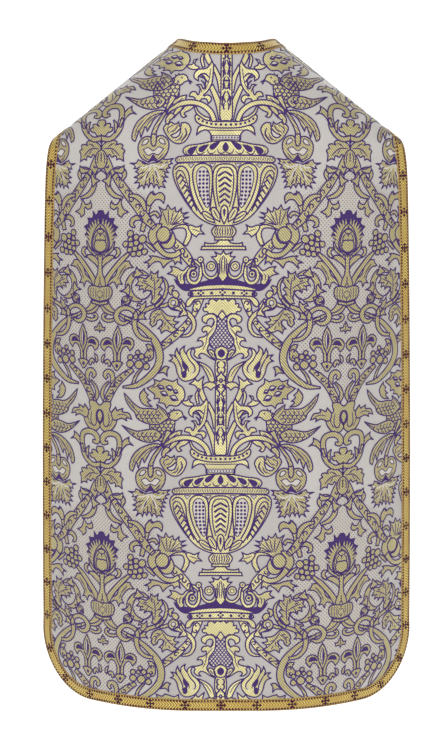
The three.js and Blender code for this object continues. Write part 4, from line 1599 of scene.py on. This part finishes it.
def draw_lower_vine(f):
    """The apple, the vine leaves, the three-petalled bud and the grapes beside the urn."""
    leaf = [
        (58, 445, 1), (66, 443.8), (77, 446.8), (86, 453), (90.6, 462), (91, 469), (88, 471.4, 1),
        (85.6, 465), (84.6, 462), (82.4, 468.6, 1), (80, 462), (78.4, 458.6), (76.4, 463, 1), (73, 457),
        (70.6, 452.6), (66, 448.6),
    ]
    f.shape(leaf, 2)
    f.stroke([(62, 446), (72, 449), (80, 456), (85, 463.4)], 2, 1.4)
    f.strokes(
        2, 1.2,
        [(68, 448.4), (74, 453.6), (78, 459)],
        [(80, 451.6), (86, 458.6), (88.4, 467)],
    )
    flower = [
        (34, 464), (35.4, 459.4), (39, 456.6), (43.4, 456.8, 1), (44.4, 460.4), (46, 455.6, 1),
        (49.4, 457.8), (53.6, 455.6), (57.4, 456.8), (60.6, 461), (58, 467), (53, 473), (46.4, 476.2),
        (39.4, 474),
    ]
    f.shape(flower, 1)
    f.shape([(43.6, 461.6, 1), (48.6, 466), (53.4, 468, 1), (50.4, 470.4), (45.4, 468.6)], 2, fill="pale")
    f.stroke([(39.6, 461.4), (38.2, 467.4), (43.4, 474.4)], 1)
    f.strokes(
        1, 1.4,
        [(41.6, 466), (44, 471.4), (49, 473.4)],
        [(46.6, 458.6), (50, 463.4), (54.6, 465)],
        [(51, 458.6), (56.6, 461.4), (55.4, 466.4)],
    )
    f.ribbon([(57, 444), (62.6, 451), (68, 460), (70.4, 468), (70, 474)], [2, 3.2, 3.6, 4.2, 4.6], 3)

    apple = [
        (66.4, 468.4), (60.4, 468.4), (55.6, 473.6), (55.4, 481), (59, 488), (66, 492.2, 1), (70, 490.4),
        (74, 492.2, 1), (81, 488), (84.6, 481), (84.2, 473.4), (79.4, 468.4), (73.6, 468.4), (70, 472.6),
    ]
    f.shape(apple, 1)
    f.shape(
        [(58.6, 476, 1), (60, 471.8), (63.4, 470.4), (64.6, 472.4), (62, 475.4)], 2, fill="pale", width=1.5,
    )
    f.shape(
        [(81.4, 475.6, 1), (79.6, 471.6), (76, 470.2), (75, 472.2), (77.6, 475.2)], 2, fill="pale",
        width=1.5,
    )
    f.shape(
        [(60, 480.4, 1), (65, 478.4), (70, 481.8), (75, 478.4), (79.6, 480.2, 1), (75, 485.6), (70, 484),
         (65, 485.6)], 2, fill="pale", width=1.5,
    )
    f.shape([(67.6, 466, 1), (67.4, 473), (69.8, 477.4), (72.4, 473), (72, 466, 1)], 4)
    f.shape(
        [(65.4, 492, 1), (68, 488.6), (70, 485.4, 1), (72, 488.6), (75, 492, 1), (70, 490.6)], 3,
        fill="ink",
    )
    f.strokes(
        1, 1.3,
        [(60, 484.6), (64, 489), (67, 490)],
        [(80, 484), (77, 488.4), (73, 490)],
    )

    vine = [
        (70, 493), (64.6, 492.6), (61.4, 489.4, 1), (57.6, 490.6), (50, 489.8, 1), (53, 492.6),
        (51, 494.6, 1), (55, 496), (53, 498.6, 1), (57, 499.6), (54.4, 503, 1), (58.4, 503.4),
        (55, 507.4, 1), (59, 507.4), (56.6, 511.6, 1), (60, 511), (57.4, 517, 1), (62, 515.4),
        (63.4, 517.4, 1), (66, 513.4), (68.4, 516.4, 1), (71, 512), (73.6, 515.8, 1), (75.6, 512.4),
        (78, 516.8, 1), (79.8, 513.4), (84.4, 516.2, 1), (82.6, 511), (87.4, 510.6, 1), (84, 507),
        (88, 505.2, 1), (83.6, 502.6), (86.8, 500, 1), (84, 498), (88.4, 497, 1), (87, 494.4),
        (92.6, 491.4, 1), (86, 491.8), (84.6, 489, 1), (79, 491.6), (74.6, 494),
    ]
    f.shape(vine, 0)
    for path in (
        [(70.4, 494), (62, 497.4), (55, 492.6)], [(70.4, 494), (66, 502), (62.6, 509)],
        [(71, 494), (75, 503), (79.6, 510)], [(71, 494), (79, 497), (87.4, 493.6)],
    ):
        f.stroke(path, 1, 2.2, "pale")
    for x, y, dx, dy in (
        (61, 501, -3.6, 1), (62, 505.4, -3.6, 2.2), (66.6, 508, -3, 5.6), (69.6, 504, -1.4, 9),
        (72.6, 506, 0.4, 7.6), (76, 509, 1.4, 4.6),
        (78.6, 504.4, 4.4, 3), (77, 500.4, 6.4, 2.4), (64.4, 499.6, -6, 0), (58.6, 494.2, -3.4, -1.4),
        (81.6, 495.4, 4.2, 1.4), (67.6, 500.4, -2.2, 6.4),
        (73.4, 500.6, 3, 6.4), (63.6, 494, -3.6, -1.6), (77, 494, 4.4, -2.2),
    ):
        f.stroke([(x, y), (x + dx, y + dy)], 2, 1.7)

    strap = [(66.6, 553.6), (76, 543.6), (85, 531.4), (94, 519.4), (102, 508.4), (107.4, 500.4)]
    f.ribbon(strap, [5, 8, 7.8, 7.6, 7.4, 5], 2)
    f.curls(
        [(72, 547.6, 2.4, 150), (78.4, 540, 2.4, -30), (84, 532.6, 2.4, 150), (89.4, 525.6, 2.4, -30),
         (94.6, 518.4, 2.4, 150), (99.6, 511.4, 2.4, -30), (104, 505, 2.0, 150)], 2,
    )
    f.ribbon(
        [(98.6, 523.4), (107, 519.4), (112.4, 512), (112.8, 503.4), (108.4, 497.4), (101, 496.6),
         (97.4, 501.6), (99.4, 507)], [2, 4, 4.4, 4.6, 5, 5, 4.6, 2], 3,
    )
    f.shape([(98.6, 499.4), (98, 493, 1), (103, 495.4), (108, 496), (104, 499)], 4)
    f.shape([(110.6, 498), (113.6, 502.4), (119, 504.2, 1), (114.6, 507.6), (112, 511)], 4)
    f.ribbon([(78.6, 556), (76, 546), (74.6, 536), (72, 527.6), (69.4, 521)], [4, 5, 5.4, 6, 4], 1)
    f.shape(
        [(74.6, 532), (74, 524), (69, 519.4, 1), (68.6, 523), (62, 521.2), (57.8, 525), (58.4, 531.4, 1),
         (62, 528), (67, 528), (71, 532.4)], 2,
    )
    f.ribbon([(76, 537), (79.4, 528.4), (85.6, 523.2), (92.6, 521.6)], [2.6, 5, 4.4, 2.4], 3)
    f.shape(
        [(100, 522, 1), (103.4, 528.4), (107.6, 527.6), (109.2, 524.6, 1), (110.2, 530.4), (106, 533),
         (103, 531.6), (102.4, 538), (98.6, 541.4, 1), (97, 538.6), (92.4, 537, 1), (97, 534),
         (99.4, 529)], 1,
    )
    f.ribbon(
        [(78.4, 546), (83, 543.2), (88, 545), (88.6, 549.4), (85.6, 551.6)], [1.6, 4.6, 4.8, 3.4, 1.2], 2,
    )
    f.ribbon([(62.6, 544), (66, 540), (72, 541.6)], [3, 3.4, 2.4], 1)

    fan = [
        (52, 557, 1), (44, 552.4), (34, 551.4, 1), (39.4, 548.6), (33.6, 545, 1), (39.4, 544.4),
        (34.4, 540.6, 1), (41, 541), (41, 536.4, 1), (46, 540), (47.4, 535.6, 1), (51, 537.4),
        (54.4, 533, 1), (57, 537.6), (63, 534.4, 1), (60.4, 541), (62, 549, 1), (57, 555.4),
    ]
    f.shape(fan, 1)
    for x, y in ((40, 550), (39, 546.6), (40, 542.6), (43.4, 539.6), (48.6, 538.4), (54, 537), (59.6, 538)):
        f.stroke([(52 + (x - 50) * 0.2, 552), (x, y)], 1, 1.4)
    f.shape([(59.6, 550.6, 1), (66, 550.6), (71.4, 556), (71.8, 564), (67, 569.6), (61, 569), (62, 560)], 2)
    f.disc(58, 560.4, 6.6, 3, squash=1.08)
    f.shape(
        [(49.4, 557, 1), (50.4, 563), (54, 568), (60.6, 568.6, 1), (56, 573.4), (49.4, 572.8), (46, 566)],
        4,
    )
    f.ribbon([(50.4, 556), (43, 553.6), (36, 554.6), (33.4, 562), (37, 571)], [0.8, 2.6, 4.2, 5, 4], 1)
    f.shape(
        [(18.4, 561.2, 1), (22.6, 556.6), (21, 552.4, 1), (26, 554.6), (33.6, 553), (31.6, 559.4),
         (26.4, 563.6, 1), (24, 561)], 2,
    )
    f.stroke([(22, 559.4), (27, 557.4), (31, 556)], 2, 1.2)
    f.ribbon([(50, 567), (42.6, 573), (35.6, 581), (29, 590)], [8.4, 8.4, 8.2, 6], 2)
    f.curls(
        [(31.6, 585.6, 2.5, 140), (35.4, 580.4, 2.4, -40), (39.6, 576, 2.4, 140), (44.6, 571.6, 2.4, -40)],
        2,
    )
    f.ribbon([(41, 577), (47, 580), (55, 579), (61, 574), (65.6, 568)], [5, 5, 4.4, 5, 6], 3)
    branch = [
        (42, 578), (48, 583), (56, 583), (64, 580.4), (71, 579.4, 1), (69, 582), (76, 585.4, 1),
        (71.4, 586.4), (72, 591, 1), (66.6, 586), (60.6, 585.6), (57, 591.4, 1), (53, 587.4), (47.6, 585),
        (46, 588.8, 1), (43, 586), (39.6, 588.6, 1), (41, 583),
    ]
    f.shape(branch, 2)
    f.ribbon([(65.6, 575.4), (70.6, 570.4), (76, 566)], [2, 3.4, 1.2], 1)

    f.shape(
        [(80, 562), (84, 560.6), (90, 561), (91, 566), (90, 572), (84, 575.6), (79, 574.4), (79, 568)], 1,
        fill="ink",
    )
    grapes = [
        (78, 563.4, 3.8), (84, 561.2, 2.7), (89.8, 557.2, 3.0), (89.6, 562.6, 2.4), (84, 566.6, 2.8),
        (89, 567.4, 2.8), (94, 566.6, 2.8), (79.6, 570.6, 2.8), (85, 571.6, 2.8), (90, 572, 2.6),
        (75.4, 575.4, 2.8), (80.8, 576.4, 2.8), (86.2, 576.4, 2.6),
    ]
    f.berries(grapes, 3)
    f.ribbon([(90.6, 575.6), (98, 581.6), (106, 590), (111.4, 598), (114, 604)], [3.4, 5, 5, 5.6, 5], 2)
    big = [
        (86, 589, 1), (89, 585.6), (90, 582.8, 1), (96, 582.6), (101, 588), (103, 594), (108, 598),
        (111.4, 602.4), (104.4, 600.4), (101.4, 606.4, 1), (99.6, 603), (96, 603.8, 1), (98.4, 599),
        (96, 593.4), (92, 589.4),
    ]
    f.shape(big, 1)
    f.stroke([(93, 586), (98, 592), (101, 599)], 1, 1.2)

    f.ribbon([(63.6, 627), (56.4, 620), (53.2, 611), (54.6, 604), (58.4, 599.6)], [3, 3.4, 3.4, 2.8, 0.8], 1)
    f.ribbon(
        [(71.6, 597), (79, 594.4), (86, 597), (90, 604), (89, 612), (84, 618), (77, 620.4)],
        [1.6, 5, 6, 6.2, 6, 5, 1.6], 2,
    )
    f.shape([(76.6, 596), (80, 592.6), (83, 588.8, 1), (84, 593.6), (86, 597.4)], 3)
    f.shape([(90, 604), (93, 608), (98.4, 609.6, 1), (93, 611.4), (89.4, 614)], 3)
    f.ribbon([(88, 615.6), (91, 622), (94.6, 621.6), (96, 618)], [4.4, 4.4, 3.2, 0.8], 2)
    inner = [
        (64, 624), (60, 620), (58, 617, 1), (60.4, 614), (57.4, 611, 1), (59.6, 607.6), (57, 604, 1),
        (58.4, 599.6, 1), (62, 600), (61.6, 593.6, 1), (65.4, 596.4), (69, 593.8, 1), (70, 598),
        (74, 600.4, 1), (78, 599), (82.4, 598.8, 1), (80.6, 602.4), (83.6, 606, 1), (79.6, 606.4),
        (80, 610.4, 1), (76, 609.6), (75.4, 613, 1), (71.6, 611), (68.4, 613), (67, 618), (68, 623, 1),
    ]
    f.shape(inner, 1)
    f.strokes(
        1, 1.4,
        [(65, 620), (64.6, 610), (66, 599)],
        [(65.6, 610), (72, 605.6), (79, 602.6)],
    )
    f.strokes(
        1, 1.1,
        [(66, 603), (69.6, 600.4)],
        [(64.8, 612), (61, 609)],
        [(64.8, 606), (61, 603)],
        [(71, 606.4), (74, 609.6)],
    )
    f.stroke([(66.6, 612), (72, 618), (80, 620)], 1)
    for x, y, dx, dy in (
        (62, 616, -2.4, 0), (62, 609.6, -2.6, -1), (63, 603.6, -2.4, -2), (68, 601, 0, -4),
        (72.6, 603, 3.6, -1.4), (76, 606.4, 4, 0.6),
        (73, 608.4, 1, 3.4), (68.6, 610.4, -0.6, 5), (66.4, 616, 0.4, 4),
    ):
        f.stroke([(x, y), (x + dx * 0.6, y + dy * 0.4), (x + dx, y + dy)], 2, 1.9)

    f.ribbon([(46.6, 609), (50, 611.4), (48.6, 616)], [2.4, 4.4, 2], 1)
    f.shape([(41, 617, 1), (43.6, 613.2), (48, 613.8), (46.4, 618.6), (43.4, 620.4)], 2)
    f.disc(46.6, 624, 5.0, 2)
    f.disc(46.6, 624, 2.3, 3, fill="pale", width=1.4)
    f.ribbon([(38.6, 636), (37, 628), (40.6, 621)], [4, 4.4, 2], 1)


def draw_side_line(f):
    """The side of the repeat: leaves, an arch, a flaming pineapple and the tie that holds its stems."""
    f.half([(125, 463.8), (120, 468.2, 1), (125, 474)], 2, fill="pale")
    f.ribbon([(121.6, 474), (117.4, 483), (113.6, 492), (110.6, 499)], [6, 7, 8, 7], 0)
    f.curls([(116.6, 485, 1.6, 150), (114, 491.6, 1.6, -30)], 0)
    bunch = [
        (120, 472.4), (117.4, 469.4), (113.4, 467.8), (109.2, 468), (105.6, 470.2), (106.8, 472.8, 1),
        (103, 472.2), (99.8, 473.8), (101, 476.6, 1), (97.8, 479.2), (99.2, 482.4), (98.6, 489, 1),
        (102.6, 486.2), (105.4, 486.8, 1), (106.4, 482.8), (110, 483.8), (112.4, 480.6, 1), (115.6, 482),
        (119.6, 478.4),
    ]
    f.shape(bunch, 2)
    f.stroke([(118.6, 474.4), (110, 476), (102.6, 483.4)], 3, 1.6)
    f.strokes(
        3, 1.4,
        [(114.6, 474), (110.6, 471.4), (108, 471.4)],
        [(111, 476.8), (108.4, 481)],
    )
    f.half([(125, 472.8), (117.8, 477.2), (115, 483.2), (115.2, 488.8), (117.4, 492.6), (125, 494.2)], 3)
    f.stroke([(118.6, 478.2), (117, 483.2), (117.2, 488.2)], 4, 1.5)
    f.dash([(125, 477.2), (125, 485.2)], 4, 1.5)
    f.dash([(125, 493.4), (120, 494.6), (115.6, 498.6), (113.6, 503)], 2, 1.8)

    halo = [
        (125, 531.6), (117.6, 532.6), (114.8, 537), (111.6, 533.8, 1), (111.4, 540), (106, 541.4, 1),
        (107, 546), (102.4, 549.8, 1), (105, 553.4), (103, 557.6, 1), (106, 560), (110, 566), (114, 570),
        (125, 571),
    ]
    f.half(halo, 0, fill="ink")
    for step in range(13):
        angle = math.radians(-80 + step * 12.5)
        near = (118.4 - 7.0 * math.cos(angle), 561.4 + 10.0 * math.sin(angle))
        far = (119.4 - 15.6 * math.cos(angle), 561.0 + 19.6 * math.sin(angle) - 1.4)
        path = to_cloth([near, ((near[0] + far[0]) / 2, (near[1] + far[1]) / 2), far])
        f.band(path, [5.2, 4.0, 0.8], "gold", 1)
    f.half(
        [(125, 540.6, 1), (117.2, 545.6), (112.8, 552.6), (110, 562), (110.2, 568), (113.4, 573),
         (125, 574.4)], 2,
    )
    f.half([(125, 544.6, 1), (115.8, 550.6), (112.4, 557), (111.2, 564), (112.4, 570.4), (125, 573)], 3)
    f.half([(125, 547.6, 1), (116.4, 550.4), (116, 553), (125, 555.4, 1)], 4)
    f.stroke([(113.4, 561.4), (114.4, 556.6), (116.4, 554.4)], 4, 1.6)
    f.half([(125, 559), (114.6, 560.6), (112.8, 565), (113.8, 569.6), (125, 571.6)], 5)
    f.ribbon([(105, 563), (107.6, 570), (114, 574.6)], [0.8, 3, 2.4], 3)
    f.half(
        [(125, 573.8), (117, 573.4), (116.4, 581), (115.6, 591), (113, 598), (113, 604.6), (125, 604.6)], 3,
    )
    f.dash([(125, 592), (117.4, 599), (116.4, 604)], 3, 1.4)
    f.shape(
        [(103.6, 577.4, 1), (107.6, 575.2), (113.4, 576), (117, 581), (117, 587.6, 1), (113.6, 583.4),
         (109, 580.4)], 2,
    )
    f.ribbon([(104.6, 578), (101, 575), (101.6, 570.6), (104.6, 569.6)], [2, 3.6, 3.6, 1.4], 2)

    f.half(
        [(125, 603.4), (112, 603.2), (107.4, 604.6), (105.8, 608), (106, 612), (108.2, 615.6),
         (125, 616.6)], 4,
    )
    for step in range(3):
        x = 108.4 + step * 2.5
        f.dash([(x + 0.5, 605), (x, 610), (x + 0.5, 615)], 4, 1.0)
    f.half([(125, 605.6), (115.8, 607.6), (115.8, 612.6), (125, 614.6)], 4, width=1.2)
    f.half([(125, 617.2), (109.6, 617.2, 1), (109.6, 620, 1), (125, 620.2)], 4)
    f.ribbon([(114, 619), (112, 623.4), (108.4, 627), (102.6, 629.4)], [6.4, 6, 5.2, 4], 0)


# Where the repeats of the figure lie on a panel, and what is cut off at its edges.
COLUMNS = (-2, -1, 0, 1)
ROWS = (-1, 0, 1)
FARTHEST_X = 329.0
LEAST_AREA = 0.004
SEAM_CLEARANCE = 0.15
SEAM_REACH = 3.0
AXIS_SHIFT = -9.6
AXIS_SHIFT_LENGTH = 640.0


def draw_figure():
    figure = Figure()
    draw_column(figure)
    draw_upper_vine(figure)
    draw_birds_and_buds(figure)
    draw_lower_vine(figure)
    draw_side_line(figure)
    return figure


def tile_figure(name, figure, cut, net, kind, material):
    """Repeats one kind of the figure's parts over a panel, and leaves out what would lie past its edges."""
    form = cut.form
    side = -form.facing
    inner = middle_outline(cut, net)
    parts = figure.parts[kind]
    places = np.concatenate([p for p, _, _ in parts])
    lifts = np.concatenate([np.full(len(p), lift) for p, _, lift in parts])
    offsets = np.cumsum([0] + [len(p) for p, _, _ in parts][:-1])
    triangles = np.concatenate([t + o for (_, t, _), o in zip(parts, offsets)])
    all_points, all_uvs, all_faces = [], [], []
    start = 0
    local = places[:, 0]
    for column in COLUMNS:
        u = column * REPEAT + (REPEAT - local if column % 2 == 1 else local)
        for row in ROWS:
            v = places[:, 1] + row * ROW_HEIGHT
            x, drop = place_of_weave(form, u + axis_shift(v), v)
            seam = seam_limit(cut, x)
            hidden = ~inside(np.stack([x, drop], axis=-1), inner)
            keep = ~np.all(hidden[triangles], axis=1)
            if not np.any(keep):
                continue
            x = np.clip(x, -FARTHEST_X, FARTHEST_X)
            drop = np.maximum(drop, seam)
            points = lifted(x, side * drop, lifts)
            faces = triangles[keep]
            used, faces = np.unique(faces, return_inverse=True)
            faces = faces.reshape(-1, 3)
            a, b, c = (points[used][faces[:, i]] for i in range(3))
            normal = np.cross(b - a, c - a)
            out = face_out(x[used][faces[:, 0]], side * drop[used][faces[:, 0]])
            flip = np.sum(normal * out, axis=1) < 0
            faces[flip] = faces[flip][:, ::-1]
            area = np.linalg.norm(normal, axis=1)
            faces = faces[area > LEAST_AREA]
            all_points.append(points[used])
            all_uvs.append(np.stack([local[used], v[used]], axis=-1))
            all_faces.append(faces + start)
            start += len(used)
    points = np.concatenate(all_points)
    uvs = np.concatenate(all_uvs)
    faces = np.concatenate(all_faces)
    obj = new_object(name, points, faces, [material], None, uvs)
    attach(obj, "root")


def middle_outline(cut, net):
    """The panel's outline, half a braid's width in and past its shoulder seams, across and down."""
    side = -cut.form.facing
    places = net["places"].copy()
    places[:, 1] *= side
    edge = (places[net["edge"]] + places[net["edge_inner"]]) / 2
    neck = (places[net["neck"]] + places[net["neck_inner"]]) / 2
    past_seam = np.array([0.0, -SEAM_REACH])
    tips = (edge[:1] + past_seam, edge[-1:] + past_seam)
    neck_ends = (neck[:1] + past_seam, neck[-1:] + past_seam)
    return np.concatenate([tips[0], edge, tips[1], neck_ends[1], neck[::-1], neck_ends[0]])


def seam_limit(cut, x):
    limit = seam_drop(x)
    return SEAM_CLEARANCE - limit if cut is BACK_CUT else limit + SEAM_GAP + SEAM_CLEARANCE


def axis_shift(v):
    """The cloth is cut a little off its pattern's middle line, and further off towards the hem."""
    return AXIS_SHIFT * ramp(v / AXIS_SHIFT_LENGTH)


ground = make_ground()
reverse = make_reverse()
gold = make_gold()
purple = make_purple()
pale = make_pale()
braid_gold = make_braid_gold()
braid_edge = make_braid_edge()
braid_purple = make_braid_purple()

back_net = panel_net(BACK_CUT)
front_net = panel_net(FRONT_CUT)


def edge_places(net, key):
    return net["places"][net[key]]


def round_neck(key):
    return np.vstack([edge_places(back_net, key), edge_places(front_net, key)[::-1]])


back_strip = Strip(edge_places(back_net, "edge"), edge_places(back_net, "edge_inner"))
front_strip = Strip(edge_places(front_net, "edge"), edge_places(front_net, "edge_inner"))
neck_strip = Strip(round_neck("neck"), round_neck("neck_inner"), closed=True)

back_cloth = make_shell("back_cloth", BACK_FORM, back_net, [ground, reverse])
front_cloth = make_shell("front_cloth", FRONT_FORM, front_net, [ground, reverse])
back_braid = make_braid("back_braid", back_strip, 6.0, [braid_gold, braid_edge])
front_braid = make_braid("front_braid", front_strip, 6.0, [braid_gold, braid_edge])
neck_braid = make_braid("neck_galloon", neck_strip, 5.0, [braid_gold, braid_edge])

for piece, node, slot in (
    (back_cloth, "back_panel", "brocade"),
    (front_cloth, "front_panel", "brocade"),
    (back_braid, "back_edge_braid", "braid"),
    (front_braid, "front_edge_braid", "braid"),
    (neck_braid, "neck_braid", "braid"),
):
    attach(piece, "root")
    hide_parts(node)

# A cross lies near the middle of each hem and at the nape.
HEM_CROSS_SHIFT = -9.0
nape = float(neck_strip.along[len(back_net["neck"]) // 2])
make_marks("back_braid_pattern", back_strip, back_strip.length / 2 + HEM_CROSS_SHIFT, braid_purple)
make_marks("front_braid_pattern", front_strip, front_strip.length / 2, braid_purple)
make_marks("neck_galloon_pattern", neck_strip, nape, braid_purple)

figure = draw_figure()
for panel, cut, net in (("back", BACK_CUT, back_net), ("front", FRONT_CUT, front_net)):
    for kind, material in (("gold", gold), ("ink", purple), ("pale", pale)):
        tile_figure(f"{panel}_figure_{kind}", figure, cut, net, kind, material)


# The studio, in metres.
FLOOR_NEAR = -5.0
FLOOR_HEIGHT = -1.45
SWEEP_START = 3.8
SWEEP_RADIUS = 1.2
SWEEP_STEPS = 12
WALL_TOP = 6.5
STUDIO_HALF_WIDTH = 8.0
CAMERA_TILT = 8.0


def make_studio():
    """A plain pale floor that rises behind the garment in one sweep."""
    profile = [(FLOOR_NEAR, FLOOR_HEIGHT), (SWEEP_START, FLOOR_HEIGHT)]
    for i in range(1, SWEEP_STEPS + 1):
        angle = QUARTER_TURN * i / SWEEP_STEPS
        y = SWEEP_START + SWEEP_RADIUS * math.sin(angle)
        profile.append((y, FLOOR_HEIGHT + SWEEP_RADIUS * (1 - math.cos(angle))))
    profile.append((SWEEP_START + SWEEP_RADIUS, WALL_TOP))
    sides = (-STUDIO_HALF_WIDTH, STUDIO_HALF_WIDTH)
    points = [(x * MM_PER_METRE, y * MM_PER_METRE, z * MM_PER_METRE) for y, z in profile for x in sides]
    faces = [(2 * i, 2 * i + 1, 2 * i + 3, 2 * i + 2) for i in range(len(profile) - 1)]
    nodes = Nodes("studio_white")
    nodes.set(
        Base_Color=(0.9, 0.9, 0.9), Roughness=0.9, Emission_Color=(1.0, 1.0, 1.0), Emission_Strength=0.4,
    )
    new_object("studio_sweep", points, faces, [nodes.material])


def add_light(name, place, target, size, power):
    data = bpy.data.lights.new(name, "AREA")
    data.shape = "RECTANGLE"
    data.size, data.size_y = size
    data.energy = power
    light = bpy.data.objects.new(name, data)
    light.location = place
    light.rotation_euler = (Vector(target) - Vector(place)).to_track_quat("-Z", "Y").to_euler()
    bpy.context.scene.collection.objects.link(light)


def add_camera():
    """Level with the upper third of the garment, 2.2 m behind it, and tilted down 8 degrees."""
    data = bpy.data.cameras.new("camera")
    data.sensor_fit = "VERTICAL"
    data.sensor_height = 24.0
    data.lens = 42.99
    data.clip_end = 50.0
    camera = bpy.data.objects.new("camera", data)
    camera.location = (-0.0049, -2.2, -0.23)
    camera.rotation_euler = (math.radians(90.0 - CAMERA_TILT), 0.0, 0.0)
    bpy.context.scene.collection.objects.link(camera)
    bpy.context.scene.camera = camera


make_studio()
add_light("key", (-1.5, -2.4, 1.3), (0.0, 0.0, -0.5), (1.8, 1.8), 38.0)
add_light("fill", (1.9, -2.2, 0.4), (0.0, 0.0, -0.6), (1.6, 2.2), 21.5)
add_light("behind", (0.0, 1.6, 1.6), (0.0, 0.2, -0.6), (2.4, 1.2), 16.0)
add_camera()

world = bpy.data.worlds.new("studio_world")
world.use_nodes = True
world.node_tree.nodes["Background"].inputs["Color"].default_value = (1.0, 1.0, 1.0, 1.0)
world.node_tree.nodes["Background"].inputs["Strength"].default_value = 0.62
bpy.context.scene.world = world
bpy.context.scene.view_settings.view_transform = "Standard"
